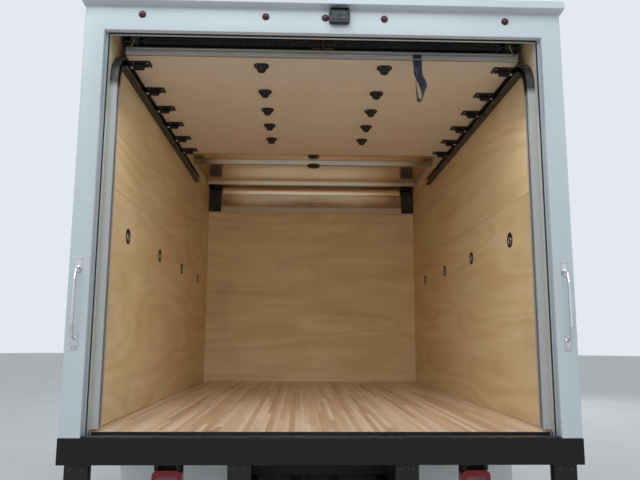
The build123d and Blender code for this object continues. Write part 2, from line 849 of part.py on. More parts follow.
def door_hinges():
    """Centre hinges on the joints, and at the edges the brackets whose rollers run in the tracks."""
    under, leaf, axis = door_under, door_under - hinge_leaf, door_under - roller_drop
    track_x = cargo_half_width - track_width / 2
    rows = (first_roller, *door_joints, last_roller)
    with BuildPart() as hinges:
        for row in rows:
            y = rear_y + row
            xs = [] if row == last_roller else [-hinge_x, hinge_x]
            for x in xs:
                with BuildSketch(Plane.XY.offset(under)):
                    with Locations((x, y)):
                        Rectangle(hinge_plate, hinge_plate, rotation=45)
                        Rectangle(hinge_plate * 1.05, hinge_plate * 0.8, mode=Mode.INTERSECT)
                extrude(amount=-hinge_leaf)
                reach = hinge_barrel_length / 2
                round_bar((x - reach, y, leaf), (x + reach, y, leaf), hinge_barrel)
            for side in (-1, 1):
                x = side * (door_half_width - bracket_inset)
                near, outer = side * (track_x - roller_width / 2), side * (track_x + roller_width / 2)
                y_span = (y - bracket_half_width, y + bracket_half_width)
                block((x - side * 50, x + side * 55), y_span, (leaf, under))
                block((x - side * 10, x + side * 40), (y - 14, y + 14), (axis - 10, leaf))
                round_bar((x - side * 20, y, axis), (near, y, axis), roller_pin_radius)
                round_bar((near, y, axis), (outer, y, axis), roller_radius)
    write(hinges, "door_hinges")


def door_tracks():
    """Rolled channels that lead the rollers up behind the posts, round a bend and along under the roof."""
    z = door_under - roller_drop
    y0 = rear_y + vertical_track_y
    middle = cargo_half_width - track_width / 2
    web_x = (track_width - track_wall) / 2 - seat_fit
    lip_x = (track_width - track_wall) / 2
    with BuildPart() as tracks:
        for side in (-1, 1):
            with BuildLine(Plane.YZ.offset(side * middle)) as path:
                up = Line((y0, floor_top + 12), (y0, z - track_bend))
                bend = JernArc(up @ 1, (0, 1), track_bend, -90)
                Line(bend @ 1, (rear_y + track_end, z))
            with BuildSketch(Plane(origin=(side * middle, y0, floor_top + 12))):
                with Locations((side * web_x, 0)):
                    Rectangle(track_wall, track_depth)
                for end in (-1, 1):
                    with Locations((-side * seat_fit / 2, end * (track_depth - track_wall) / 2)):
                        Rectangle(track_width - seat_fit, track_wall)
                    with Locations((-side * lip_x, end * (track_depth - track_lip) / 2)):
                        Rectangle(track_wall, track_lip)
            sweep(path=path.line)
    write(tracks, "door_tracks")


def spring_shaft():
    """The counterbalance: a shaft behind the header with two springs, and a cable drum at each end."""
    y, z = rear_y + spring_shaft_y, deck_height + spring_shaft_height
    half = cargo_half_width - seat_fit
    with BuildPart() as shaft:
        round_bar((-half, y, z), (half, y, z), shaft_radius)
        for side in (-1, 1):
            round_bar((side * 60, y, z), (side * (half - 130), y, z), spring_radius)
            round_bar((side * (half - 100), y, z), (side * (half - 100 + drum_width), y, z), drum_radius)
        block((-6, 6), (y - 34, y + 34), (z - 34, ceiling_z - seat_fit))
    write(shaft, "spring_shaft")


strap_x = 505
strap_thickness = 8
strap_rise = 30
# The loop's outline, as x from its middle and drop from its top
strap_outline = ((-23, 0), (23, 0), (26, 160), (44, 230), (30, 275), (-6, 275), (-12, 180))


def pull_strap():
    """The pull strap, a loop of webbing that hangs from the bottom rail."""
    back = bottom_rail_back - seat_fit - strap_thickness
    top = door_z + strap_rise
    with BuildPart() as strap:
        with BuildSketch(Plane.XZ.offset(-back)):
            with BuildLine():
                Polyline(*((strap_x + x, top - drop) for x, drop in strap_outline), close=True)
            make_face()
        extrude(amount=-strap_thickness)
    write(strap, "pull_strap")


# Rear lamps, handles and bumper
lamp_x = 748
lamp_width = 140
lamp_top = 172
lamp_height = 185
lamp_y = 150
marker_places = (-932, -305, 0, 305, 932)
marker_radius = 13
marker_height = 2086
marker_reach = 7
lamp_depth = 60
lamp_corner = 26


def rear_lamps():
    """Five small round lamps along the header, and a large lamp under the sill on each side."""
    with BuildPart() as lamps:
        for x in marker_places:
            with BuildSketch(Plane.XZ.offset(-(rear_y - seat_fit))):
                with Locations((x, deck_height + marker_height)):
                    Circle(marker_radius)
            extrude(amount=marker_reach)
        z1, y = deck_height - lamp_top, rear_y + lamp_y
        for side in (-1, 1):
            with BuildSketch(Plane.XZ.offset(-y)):
                with Locations((side * lamp_x, z1 - lamp_height / 2)):
                    RectangleRounded(lamp_width, lamp_height, lamp_corner)
            extrude(amount=-lamp_depth)
    write(lamps, "rear_lamps")


camera_x = 72
camera_height = 2090
camera_size = (108, 78)
camera_corner = 18
camera_reach = 34


def rear_camera():
    """The reversing camera's housing on the header."""
    with BuildPart() as housing:
        with BuildSketch(Plane.XZ.offset(-(rear_y - seat_fit))):
            with Locations((camera_x, deck_height + camera_height)):
                RectangleRounded(*camera_size, camera_corner)
        extrude(amount=camera_reach)
    write(housing, "rear_camera")


handle_x = 1171
handle_low = 404
handle_high = 838
handle_rod = 7
handle_reach = 52
handle_foot = 70
handle_plate = (28, 5)
handle_bend = 12


def grab_handles():
    """A bent steel grab handle on each post, with a bolted foot at each end."""
    width, thickness = handle_plate
    z0, z1 = deck_height + handle_low, deck_height + handle_high
    low, high = z0 + handle_foot, z1 - handle_foot
    plate, knee, grip = rear_y - thickness, rear_y - handle_reach + 14, rear_y - handle_reach
    with BuildPart() as handles:
        for side in (-1, 1):
            x = side * handle_x
            for foot in (z0, high):
                block((x - width / 2, x + width / 2), (rear_y - seat_fit, plate - seat_fit),
                      (foot, foot + handle_foot))
            with BuildLine(Plane.YZ.offset(x)) as path:
                FilletPolyline((plate, low - 24), (knee, low - 10), (grip, low + 40), (grip, high - 40),
                               (knee, high + 10), (plate, high + 24), radius=handle_bend)
            with BuildSketch(Plane(origin=path.line @ 0, z_dir=path.line % 0)):
                Circle(handle_rod)
            sweep(path=path.line)
    write(handles, "grab_handles")


bumper_post_width = 108
bumper_inner_x = 388
bumper_outer_x = 1130
bumper_bar_low = 430
bumper_bar_height = 100
bumper_post_depth = 50
bumper_bar_y = (-6, 130)
bumper_web_depth = 66
bumper_tread = 8
slot_size = (60, 22)
slot_pitch = 96
slot_count = 23
slot_y = 94


def rear_bumper():
    """The step bumper: four hangers under the sill and a channel across them."""
    z1 = deck_height - sill_beam_height - seat_fit
    back, front = (rear_y + y for y in bumper_bar_y)
    with BuildPart() as bumper:
        for x in (-bumper_outer_x, -bumper_inner_x, bumper_inner_x, bumper_outer_x):
            x_span = (x - bumper_post_width / 2, x + bumper_post_width / 2)
            block(x_span, (rear_y + 4, rear_y + 4 + bumper_post_depth), (bumper_bar_low, z1))
        half = body_half_width - 20
        bar_top = bumper_bar_low + bumper_bar_height
        block((-half, half), (back, front), (bumper_bar_low, bar_top))
        block((-half, half), (back + bumper_web_depth, front), (bumper_bar_low, bar_top - bumper_tread),
              Mode.SUBTRACT)
        with BuildSketch(Plane.XY.offset(bar_top)):
            with Locations((0, rear_y + slot_y)):
                with GridLocations(slot_pitch, 1, slot_count, 1):
                    SlotOverall(*slot_size)
        extrude(amount=-20, mode=Mode.SUBTRACT)
    write(bumper, "rear_bumper")


flap_y = 850
flap_inner = 470
flap_outer = 1150
flap_low = 255
flap_thickness = 8


def mudflaps():
    """A flap behind each pair of rear wheels, clamped to an angle under the body."""
    y = rear_y + flap_y
    top = crossmember_bottom - seat_fit
    with BuildPart() as flaps:
        for side in (-1, 1):
            block((side * flap_inner, side * flap_outer), (y, y + flap_thickness), (flap_low, top - 10))
    write(flaps, "mudflaps")


def rear_brackets():
    """The brackets that hold the tail lamps under the sill and the flaps under the floor."""
    z1, y = deck_height - lamp_top, rear_y + lamp_y
    under = deck_height - sill_beam_height - seat_fit
    flap = rear_y + flap_y + flap_thickness + seat_fit
    top = crossmember_bottom - seat_fit
    with BuildPart() as brackets:
        for side in (-1, 1):
            x = side * lamp_x
            block((x - 62, x + 62), (rear_y + 60, y + lamp_depth + 20), (under - 6, under))
            block((x - lamp_width / 2, x + lamp_width / 2), (y + lamp_depth + seat_fit, y + lamp_depth + 6),
                  (z1 - lamp_height + 20, under))
            for edge in (-1, 1):
                block((x + edge * 44, x + edge * 62), (y + 10, y + lamp_depth), (z1 + seat_fit, under))
            x_span = (side * flap_inner, side * flap_outer)
            block(x_span, (flap, flap + 8), (top - 70, top))
            block(x_span, (flap, flap + 180), (top - 8, top))
    write(brackets, "rear_brackets")


# Cab forms
cab_side = Plane(origin=(0, cab_back_y, 0), x_dir=(0, 1, 0), z_dir=(1, 0, 0))
cab_front = Plane(origin=(0, cab_back_y, 0), x_dir=(1, 0, 0), z_dir=(0, -1, 0))
cab_plan = Plane(origin=(0, cab_back_y, 0), x_dir=(1, 0, 0), z_dir=(0, 0, 1))


def slope_plane(low, high):
    """A plane square to the line from low to high in the side view, its Y axis pointing out of the cab."""
    run, rise = high[0] - low[0], high[1] - low[1]
    return Plane(origin=(0, cab_back_y + low[0], low[1]), x_dir=(1, 0, 0), z_dir=(0, run, rise))


# The half width at each height of the cab's side, where 0 stands for its lower edge
cab_side_points = ((968, 0), (1000, 640), (cab_half_width, 1000), (992, belt_height), (868, 1905))
cab_shoulder_radius = 130
cab_shoulder_turn = 66


def front_outline(inset, low):
    """The cab seen from the front: upright sides to the belt, then leaning in to a rounded roof."""
    with BuildSketch(cab_front) as outline:
        with BuildLine():
            side = Polyline((0, low), *((x, z or low) for x, z in cab_side_points))
            shoulder = JernArc(side @ 1, side % 1, cab_shoulder_radius, cab_shoulder_turn)
            ThreePointArc(shoulder @ 1, (400, cab_top - 12), (0, cab_top))
            mirror(about=Plane.YZ)
        make_face()
        if inset:
            offset(amount=-inset, kind=Kind.INTERSECTION)
    return outline.sketch


def cab_form(inset):
    """The cab's closed outer form, or the form that lies inset inside it and open below."""
    low = cab_rocker - (inset and 400)
    base_y, base_z = windscreen_base
    top_y, top_z = windscreen_top
    with BuildPart() as upper:
        with BuildSketch(cab_side):
            with BuildLine():
                low_z, high_z = belt_height - 200, cab_top + 20
                Polyline((0, low_z), (0, high_z), (560, high_z), (top_y - 120, cab_top - 6), (top_y, top_z),
                         (base_y, base_z), (base_y, low_z), close=True)
            make_face()
            if inset:
                offset(amount=-inset, kind=Kind.INTERSECTION)
        extrude(amount=far, both=True)
        extrude(front_outline(inset, low), amount=far, both=True, mode=Mode.INTERSECT)
        with BuildSketch(slope_plane(windscreen_base, windscreen_top)):
            with Locations((0, -windscreen_bow)):
                Circle(windscreen_bow - inset)
        extrude(amount=far, both=True, mode=Mode.INTERSECT)
    with BuildPart() as lower:
        with BuildSketch(cab_side):
            with BuildLine():
                hood_y, hood_z = hood_front
                Polyline(
                    (0, low), (0, belt_height), (base_y - 240, belt_height), (base_y - 140, base_z),
                    (base_y, base_z), (hood_y, hood_z), (nose_face - 60, hood_z - 60),
                    (nose_face - 12, hood_z - 150), (nose_face, 700), (nose_face - 40, low if inset else 520),
                    (nose_face - 200, low), close=True,
                )
            make_face()
            if inset:
                offset(amount=-inset, kind=Kind.INTERSECTION)
        extrude(amount=far, both=True)
        extrude(front_outline(inset, low), amount=far, both=True, mode=Mode.INTERSECT)
        with BuildSketch(slope_plane(windscreen_base, (2 * base_y - hood_y, 2 * base_z - hood_z))):
            with Locations((0, -hood_crown)):
                Circle(hood_crown - inset)
        extrude(amount=far, both=True, mode=Mode.INTERSECT)
        with BuildSketch(cab_plan):
            with BuildLine():
                flank = Polyline((0, -10), (1010, -10), (1010, 1650), (970, 2120))
                corner = JernArc(flank @ 1, (-40, 470), 260, 62)
                ThreePointArc(corner @ 1, (380, nose_face - 6), (0, nose_face + 1))
                mirror(about=Plane.YZ)
            make_face()
            if inset:
                offset(amount=-inset, kind=Kind.INTERSECTION)
        extrude(amount=far, both=True, mode=Mode.INTERSECT)
    with BuildPart() as form:
        add(upper.part)
        add(lower.part)
    return form.part


def side_prism(corners, x_span, grow=0.0, rounding=0.0):
    """A prism through an outline in the side view, between two distances from the centre line."""
    low, high = sorted(x_span)
    with BuildPart() as prism:
        with BuildSketch(cab_side.offset(low)):
            with BuildLine():
                Polyline(*corners, close=True)
            outline = make_face()
            if rounding:
                fillet(outline.vertices(), rounding)
            if grow:
                offset(amount=grow, kind=Kind.INTERSECTION)
        extrude(amount=high - low)
    return prism.part


def cab_box(x_span, y_span, z_span, mode=Mode.ADD):
    """A box measured from the cab's back, in the part that is open."""
    block(x_span, (cab_back_y + y_span[0], cab_back_y + y_span[1]), z_span, mode)


def arch(radius, x_span):
    """A round bar about the front axle, as wide as a wheel arch."""
    with BuildPart() as bar:
        round_bar((x_span[0], front_axle_y, axle_z), (x_span[1], front_axle_y, axle_z), radius)
    return bar.part


nose_end = 2500
fender_corners = (
    (1041, 430), (1041, 853), (1176, 1003), (1176, 1190), (1500, 1190), (1500, 1400), (nose_end, 1400),
    (nose_end, 430),
)


def front_prism(grow, y_span):
    """The windscreen's outline, seen from the front, between two distances from the cab's back."""
    with BuildPart() as prism:
        with BuildSketch(Plane.XZ.offset(-(cab_back_y + y_span[1]))):
            with BuildLine():
                Polyline(*windscreen_corners, close=True)
            outline = make_face()
            fillet(outline.vertices(), 50)
            if grow:
                offset(amount=grow, kind=Kind.INTERSECTION)
        extrude(amount=y_span[1] - y_span[0])
    return prism.part


jamb_wall = 14
jamb_lap = 28
jamb_depth = 5


def door_jamb(side):
    """The frame inside a door opening: a wall round the door's edge and a lip that the door closes on."""
    reach = (side * (door_inner_x - 60), side * far)
    with BuildPart() as door_space:
        add(side_prism(door_corners, (side * (door_inner_x - panel_gap), side * far), grow=panel_gap))
        add(cab_form(door_panel + seat_fit), mode=Mode.SUBTRACT)
    with BuildPart() as fender_space:
        add(side_prism(fender_corners, (side * 500, side * far), grow=seat_fit))
        add(cab_form(panel + seat_fit), mode=Mode.SUBTRACT)
    with BuildPart() as jamb:
        add(side_prism(door_corners, reach, grow=panel_gap + jamb_wall))
        add(cab_form(panel - 12), mode=Mode.INTERSECT)
        add(cab_form(door_panel + jamb_depth), mode=Mode.SUBTRACT)
        add(side_prism(door_corners, reach, grow=-jamb_lap), mode=Mode.SUBTRACT)
        add(door_space.part, mode=Mode.SUBTRACT)
        add(fender_space.part, mode=Mode.SUBTRACT)
        add(arch(liner_radius + panel_gap, (side * 500, side * far)), mode=Mode.SUBTRACT)
    return jamb.part


cab_floor_half = 925
foot_well_half = 525
bulkhead = 25
wheel_box_top = 886
cab_sill_x = 900
cab_sill_y = (16, 1010)
cab_sill_low = 446
cab_sill_height = 42
pillar_foot_x = 955
pillar_foot_y = 1182
firewall_top = 1235
cowl_low = 1222
cowl_top = 1240
cowl_reach = 1498
cowl_lip = (750, 1474, 1320)
fender_tab_z = (900, 1180)
hood_tongue_x = (540, 600)


def cab_shell(outer, inner):
    """The cabin: its skin, floor, stepped firewall and sills, and the frames that its doors close on."""
    under = cab_floor - cab_floor_thickness
    wall, box_back = (firewall_y, firewall_y + bulkhead), wheel_box_y - bulkhead
    shelf = (wheel_box_top - bulkhead + 1, wheel_box_top)
    box_inner = foot_well_half - bulkhead
    with BuildPart() as structure:
        cab_box((-cab_floor_half, cab_floor_half), (cab_sill_y[0], wheel_box_y), (under, cab_floor))
        cab_box((-foot_well_half, foot_well_half), (wheel_box_y - 5, wall[1]), (under, cab_floor))
        cab_box((-foot_well_half, foot_well_half), wall, (under, firewall_top))
        for side in (-1, 1):
            box_x = (side * box_inner, side * cab_floor_half)
            cab_box(box_x, (box_back, wheel_box_y), (under, wheel_box_top))
            cab_box((side * box_inner, side * foot_well_half), (box_back, wall[1]), (under, wheel_box_top))
            cab_box(box_x, (box_back, wall[1]), shelf)
            cab_box(box_x, wall, (shelf[0], firewall_top))
            cab_box((side * cab_sill_x, side * pillar_foot_x), (pillar_foot_y, wall[1]),
                    (shelf[0], firewall_top))
            cab_box((side * cab_sill_x, side * (pillar_foot_x + 35)), (pillar_foot_y, wall[1]),
                    (cowl_low - 3, cowl_top))
            cab_box((side * cab_sill_x, side * cab_floor_half), cab_sill_y, (cab_sill_low, cab_floor))
            cab_box((side * cab_sill_x, side * pillar_foot_x), cab_sill_y,
                    (cab_sill_low, cab_sill_low + cab_sill_height))
        cab_box((5 - cab_floor_half, cab_floor_half - 5), (firewall_y, cowl_reach), (cowl_low, cowl_top))
        lip_x, lip_back, lip_top = cowl_lip
        cab_box((-lip_x, lip_x), (lip_back, cowl_reach), (cowl_low, lip_top))
        add(cab_form(12), mode=Mode.INTERSECT)
    with BuildPart() as tabs:
        for side in (-1, 1):
            cab_box((side * cab_sill_x, side * (cab_sill_x + 110)), (pillar_foot_y + 10, firewall_y),
                    fender_tab_z)
            cab_box((side * hood_tongue_x[0], side * hood_tongue_x[1]), (1480, 1570), (1150, 1300))
        add(cab_form(panel + seat_fit), mode=Mode.INTERSECT)
    with BuildPart() as shell:
        add(outer)
        add(inner, mode=Mode.SUBTRACT)
        add(side_prism(fender_corners, (-far, far), grow=panel_gap), mode=Mode.SUBTRACT)
        for side in (-1, 1):
            reach = (side * (door_inner_x - panel_gap), side * far)
            add(side_prism(door_corners, reach, grow=panel_gap), mode=Mode.SUBTRACT)
        add(front_prism(0, (600, 1800)), mode=Mode.SUBTRACT)
        cab_box((-890, 890), (-10, 60), (400, under), Mode.SUBTRACT)
        add(structure.part)
        add(tabs.part)
        for side in (-1, 1):
            add(door_jamb(side))
    write(shell, "cab_shell")


def flange(half_width, z_span):
    """A thin flange behind the front panels, by which a grille or lamp is held."""
    with BuildPart() as strip:
        add(cab_form(panel + seat_fit))
        add(cab_form(panel + seat_fit + 12), mode=Mode.SUBTRACT)
        cab_box((-half_width, half_width), (lamp_back, nose_end), z_span, Mode.INTERSECT)
    return strip.part


def arch_lips(outer):
    """The fenders' inward lips round the wheel arches, which the wheel liners meet."""
    with BuildPart() as lips:
        for side in (-1, 1):
            add(arch(liner_radius + panel_gap, (side * (liner_outer_x + seat_fit), side * far)))
        add(side_prism(fender_corners, (-far, far)), mode=Mode.INTERSECT)
        add(outer, mode=Mode.INTERSECT)
        cab_box((-far, far), (900, 2200), (0, front_bumper_low + 8), Mode.SUBTRACT)
    return lips.part


def cab_front_panels(outer, inner):
    """The fenders, the hood, the grille, the headlamps and the front bumper, each cut from the cab's form."""
    with BuildPart() as fenders:
        add(outer)
        add(inner, mode=Mode.SUBTRACT)
        add(side_prism(fender_corners, (-far, far)), mode=Mode.INTERSECT)
        wide = hood_half_width + panel_gap
        cab_box((-wide, wide), (hood_back - panel_gap, nose_end), (hood_lip - panel_gap, 1500), Mode.SUBTRACT)
        wide = grille_half_width + panel_gap
        cab_box((-wide, wide), (lamp_back - 200, nose_end), (400, 1100), Mode.SUBTRACT)
        cab_box((-1200, 1200), (front_bumper_back - panel_gap, nose_end), (400, grille_low), Mode.SUBTRACT)
        cab_box((-1200, 1200), (lamp_back - panel_gap, nose_end),
                (lamp_z_span[0] - panel_gap, lamp_z_span[1] + panel_gap), Mode.SUBTRACT)
        add(arch_lips(outer))
        add(arch(arch_radius, (-far, far)), mode=Mode.SUBTRACT)
    write(fenders, "fenders")
    with BuildPart() as hood:
        add(outer)
        add(inner, mode=Mode.SUBTRACT)
        cab_box((-hood_half_width, hood_half_width), (hood_back, nose_end), (hood_lip, 1500), Mode.INTERSECT)
    write(hood, "hood")
    with BuildPart() as grille:
        add(outer)
        add(cab_form(panel + seat_fit + 12), mode=Mode.SUBTRACT)
        cab_box((-grille_half_width, grille_half_width), (lamp_back, nose_end),
                (grille_low, hood_lip - panel_gap), Mode.INTERSECT)
        add(flange(grille_half_width + panel_gap + 18, (grille_low + 12, lamp_z_span[0] - 40)))
        wide = grille_half_width - grille_frame
        for n in range(grille_slots):
            low = grille_low + grille_frame - 4 + n * grille_pitch
            cab_box((-wide, wide), (lamp_back, nose_end), (low, low + grille_slot_height), Mode.SUBTRACT)
    write(grille, "grille")
    with BuildPart() as lamps:
        add(outer)
        add(cab_form(panel + seat_fit + 12), mode=Mode.SUBTRACT)
        cab_box((-1100, 1100), (lamp_back, nose_end), lamp_z_span, Mode.INTERSECT)
        add(flange(1100, (lamp_z_span[0] - 22, lamp_z_span[1] + 22)))
        wide = grille_half_width + panel_gap
        cab_box((-wide, wide), (lamp_back - 100, nose_end), (400, 1100), Mode.SUBTRACT)
    write(lamps, "headlamps")
    with BuildPart() as bumper:
        add(cab_form(-18))
        add(cab_form(40), mode=Mode.SUBTRACT)
        cab_box((-1200, 1200), (front_bumper_back, nose_end), (front_bumper_low, grille_low - panel_gap),
                Mode.INTERSECT)
        horn_y = (front_axle_to_cab_back + rail_nose_reach + seat_fit, 2350)
        horn_inner = frame_half_width - frame_flange + 1
        for side in (-1, 1):
            cab_box((side * horn_inner, side * frame_half_width), horn_y, (frame_bottom + 10, frame_top - 40))
    write(bumper, "front_bumper")


def windscreen():
    """The curved windscreen, seated in its opening."""
    with BuildPart() as glass:
        add(cab_form(8))
        add(cab_form(14), mode=Mode.SUBTRACT)
        add(front_prism(-seat_fit, (700, 1800)), mode=Mode.INTERSECT)
    write(glass, "windscreen")


pull_face = 1034
pull_y = (140, 290)
pull_z = (1060, 1092)
pull_post = 20
pull_thickness = 14
mirror_y = cab_back_y + 1080
mirror_head = (180, 390)
mirror_depth = 70
mirror_corner = 40
mirror_centre = (1210, 1385)
mirror_arm_x = 1125
mirror_arm_z = (1225, 1520)
mirror_foot = (1014, 1110)
arm_radius = 14


def cab_door(side, name, outer):
    """One cab door with its handle, its window glass, and the mirror that stands out from it."""
    reach = (side * door_inner_x, side * far)
    with BuildPart() as door:
        add(outer)
        add(cab_form(door_panel), mode=Mode.SUBTRACT)
        add(side_prism(door_corners, reach), mode=Mode.INTERSECT)
        add(side_prism(window_corners, reach, rounding=24), mode=Mode.SUBTRACT)
        for post in (pull_y[0], pull_y[1] - pull_post):
            cab_box((side * (pull_face - 49), side * (pull_face - 2)), (post, post + pull_post), pull_z)
        cab_box((side * (pull_face - pull_thickness), side * pull_face), pull_y, pull_z)
    write(door, f"cab_door_{name}")
    with BuildPart() as glass:
        add(cab_form(12))
        add(cab_form(18), mode=Mode.SUBTRACT)
        add(side_prism(window_corners, reach, grow=-seat_fit, rounding=24), mode=Mode.INTERSECT)
    write(glass, f"door_glass_{name}")
    middle, arm_x = mirror_y + mirror_depth / 2, side * mirror_arm_x
    foot_y, foot_x, foot_z = mirror_y + 20, side * mirror_foot[0], mirror_foot[1]
    head_x, head_z = side * mirror_centre[0], mirror_centre[1]
    face = Plane(origin=(head_x, mirror_y, head_z), z_dir=(0, 1, 0), x_dir=(1, 0, 0))
    with BuildPart() as mirror_arms:
        with BuildSketch(face):
            RectangleRounded(*mirror_head, mirror_corner)
        extrude(amount=mirror_depth)
        fillet(mirror_arms.faces().sort_by(Axis.Y)[-1].edges(), 24)
        for z in mirror_arm_z:
            round_bar((side * (mirror_arm_x + 100), middle, z), (arm_x, middle, z), arm_radius)
        round_bar((arm_x, middle, mirror_arm_z[0]), (foot_x, foot_y, foot_z), arm_radius)
        round_bar((arm_x, middle, mirror_arm_z[1]), (arm_x, middle, mirror_arm_z[0]), arm_radius - 2)
        round_bar((foot_x - side * 34, foot_y, foot_z), (foot_x, foot_y, foot_z), 34)
        add(cab_form(-seat_fit), mode=Mode.SUBTRACT)
    write(mirror_arms, f"mirror_{name}")


def wheel_liners():
    """The black wells over the front wheels, closed towards the engine bay."""
    with BuildPart() as liners:
        for side in (-1, 1):
            add(arch(liner_radius, (side * liner_inner_x, side * liner_outer_x)))
            well = (side * (liner_inner_x + liner_wall), side * (liner_outer_x + 5))
            add(arch(liner_radius - liner_wall, well), mode=Mode.SUBTRACT)
        cab_box((-far, far), (900, 2200), (-200, front_bumper_low + 8), Mode.SUBTRACT)
        cab_box((-600, 600), (900, 2200), (-200, frame_top + 10), Mode.SUBTRACT)
    write(liners, "wheel_liners")


seat_x = 400
seat_box_half = 210
seat_box_top = 880
cushion_half = 245
cushion_top = 1010
back_half = 240
back_outline = ((330, 1000), (360, 1090), (250, 1590), (150, 1590), (170, 1090), (200, 1000))
head_rest_half = 130
head_rest_outline = ((236, 1590), (232, 1770), (140, 1770), (150, 1590))


def seats():
    """Two seats on boxes: a cushion, a leaning back and a head rest each."""
    with BuildPart() as pair:
        for side in (-1, 1):
            x = side * seat_x
            cab_box((x - seat_box_half, x + seat_box_half), (330, 760), (cab_floor + seat_fit, seat_box_top))
            cab_box((x - cushion_half, x + cushion_half), (290, 810), (seat_box_top, cushion_top))
            for half, corners in ((back_half, back_outline), (head_rest_half, head_rest_outline)):
                with BuildSketch(cab_side.offset(x - half)):
                    with BuildLine():
                        FilletPolyline(*corners, radius=30, close=True)
                    make_face()
                extrude(amount=2 * half)
    write(pair, "seats")


wheel_place = (-seat_x, 900, 1135)
column_foot = (-seat_x, 1180, 1010)
column_start = 64
column_radius = 42
dash_half_width = 895
hand_wheel_radius = 185
hand_wheel_grip = 15
spoke_angles = (0, 180, 90)


def column_ends():
    """The steering wheel's hub and the foot of its column."""
    return [Vector(x, cab_back_y + y, z) for x, y, z in (wheel_place, column_foot)]


def dashboard():
    """The dashboard from door to door, with the steering column's cover."""
    with BuildPart() as dash:
        with BuildSketch(cab_side.offset(-dash_half_width)):
            with BuildLine():
                back, low = firewall_y - seat_fit, wheel_box_top + seat_fit
                FilletPolyline((back, low), (1150, low), (1080, 960), (1060, 1150), (1110, 1215),
                               (back, cowl_low - 1), radius=20, close=True)
            make_face()
        extrude(amount=2 * dash_half_width)
        hub, foot = column_ends()
        round_bar(tuple(hub + (foot - hub).normalized() * column_start), tuple(foot), column_radius)
    write(dash, "dashboard")


def steering_wheel():
    """A three-spoke wheel square to the column."""
    hub, foot = column_ends()
    face = Plane(origin=hub, x_dir=(1, 0, 0), z_dir=foot - hub)
    with BuildPart() as hand_wheel:
        with Locations(face.location):
            Torus(hand_wheel_radius, hand_wheel_grip)
            Cylinder(52, 50)
        for angle in spoke_angles:
            with Locations(face.location * Location((0, 0, 0), (0, 0, angle))):
                with Locations((110, 0, 0)):
                    Box(140, 34, 12)
        round_bar(tuple(hub), tuple(hub + (foot - hub).normalized() * (column_start - seat_fit)), 20)
    write(hand_wheel, "steering_wheel")


if __name__ == "__main__":
    frame_rails()
    frame_crossmembers()
    front_axle()
    for side, name in ((-1, "left"), (1, "right")):
        knuckle(side, f"knuckle_{name}")
        wheel(side, front_axle_y, (wheel_track_half,), (20,), f"front_{name}")
        twins = (wheel_track_half - dual_half_spacing, wheel_track_half + dual_half_spacing)
        wheel(side, rear_axle_y, twins, (40, -60), f"rear_{name}")
        side_wall(side, name)
    rear_axle()
    springs()
    drive_line()
    fuel_tank()
    exhaust()
    body_subframe()
    cargo_floor()
    sill_beam()
    rear_frame()
    cargo_lining()
    tie_rings()
    front_wall()
    front_trim()
    roof()
    roof_bows()
    body_rails()
    roll_door()
    door_hinges()
    door_tracks()
    spring_shaft()
    pull_strap()
    rear_lamps()
    rear_camera()
    grab_handles()
    rear_bumper()
    mudflaps()
    rear_brackets()
    form = cab_form(0)
    hollow = cab_form(panel)
    cab_shell(form, hollow)
    cab_front_panels(form, hollow)
    windscreen()
    for side, name in ((-1, "left"), (1, "right")):
        cab_door(side, name, form)
    wheel_liners()
    seats()
    dashboard()
    steering_wheel()
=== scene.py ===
# %% [markdown]
# # A box truck, looked into through its open rear door
# The truck's solid shapes come from its engineering model and stay where they are.
# This lesson lights them, gives each one its finish, and adds the small pieces that an engineering
# model leaves out: rivets, screws, tyre treads, cushions, cables, lamps and seals.

import math
from itertools import product

import bmesh
import bpy
from mathutils import Matrix, Vector


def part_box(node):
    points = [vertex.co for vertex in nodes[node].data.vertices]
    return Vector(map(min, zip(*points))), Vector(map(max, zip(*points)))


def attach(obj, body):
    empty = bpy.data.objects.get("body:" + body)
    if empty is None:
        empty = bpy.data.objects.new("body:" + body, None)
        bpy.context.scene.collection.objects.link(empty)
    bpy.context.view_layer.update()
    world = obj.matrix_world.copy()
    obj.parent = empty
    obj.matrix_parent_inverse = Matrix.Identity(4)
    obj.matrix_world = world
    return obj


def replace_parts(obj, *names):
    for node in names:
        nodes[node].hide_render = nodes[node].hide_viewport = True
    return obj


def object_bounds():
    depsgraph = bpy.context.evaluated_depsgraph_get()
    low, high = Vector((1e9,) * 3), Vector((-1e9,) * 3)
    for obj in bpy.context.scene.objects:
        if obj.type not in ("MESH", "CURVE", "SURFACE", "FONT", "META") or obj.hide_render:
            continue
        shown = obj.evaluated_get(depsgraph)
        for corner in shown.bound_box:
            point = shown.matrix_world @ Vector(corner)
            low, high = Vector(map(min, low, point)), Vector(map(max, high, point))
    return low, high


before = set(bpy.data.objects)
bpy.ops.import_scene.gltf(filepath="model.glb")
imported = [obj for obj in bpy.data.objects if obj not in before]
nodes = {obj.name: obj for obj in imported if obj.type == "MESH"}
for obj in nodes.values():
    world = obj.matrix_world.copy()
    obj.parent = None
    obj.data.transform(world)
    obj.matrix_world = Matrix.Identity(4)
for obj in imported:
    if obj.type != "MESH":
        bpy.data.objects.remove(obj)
cad_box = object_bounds()
scene = bpy.context.scene

# %% [markdown]
# ## Places on the truck
# The truck faces +Y and stands on Z = 0. A few places of the body are named once here,
# in metres, so that every later piece is set out from them and not from loose numbers.
# The door frame's rear face is the reference for everything in the cargo hold.

# %% Places on the truck
SIDES = {"left": -1, "right": 1}
BOTH = (-1, 1)
BACK, AHEAD, UP, DOWN, ACROSS = (0, -1, 0), (0, 1, 0), (0, 0, 1), (0, 0, -1), (1, 0, 0)


def middle_y(name):
    """The middle of a solid along the truck."""
    low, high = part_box(name)
    return (low.y + high.y) / 2


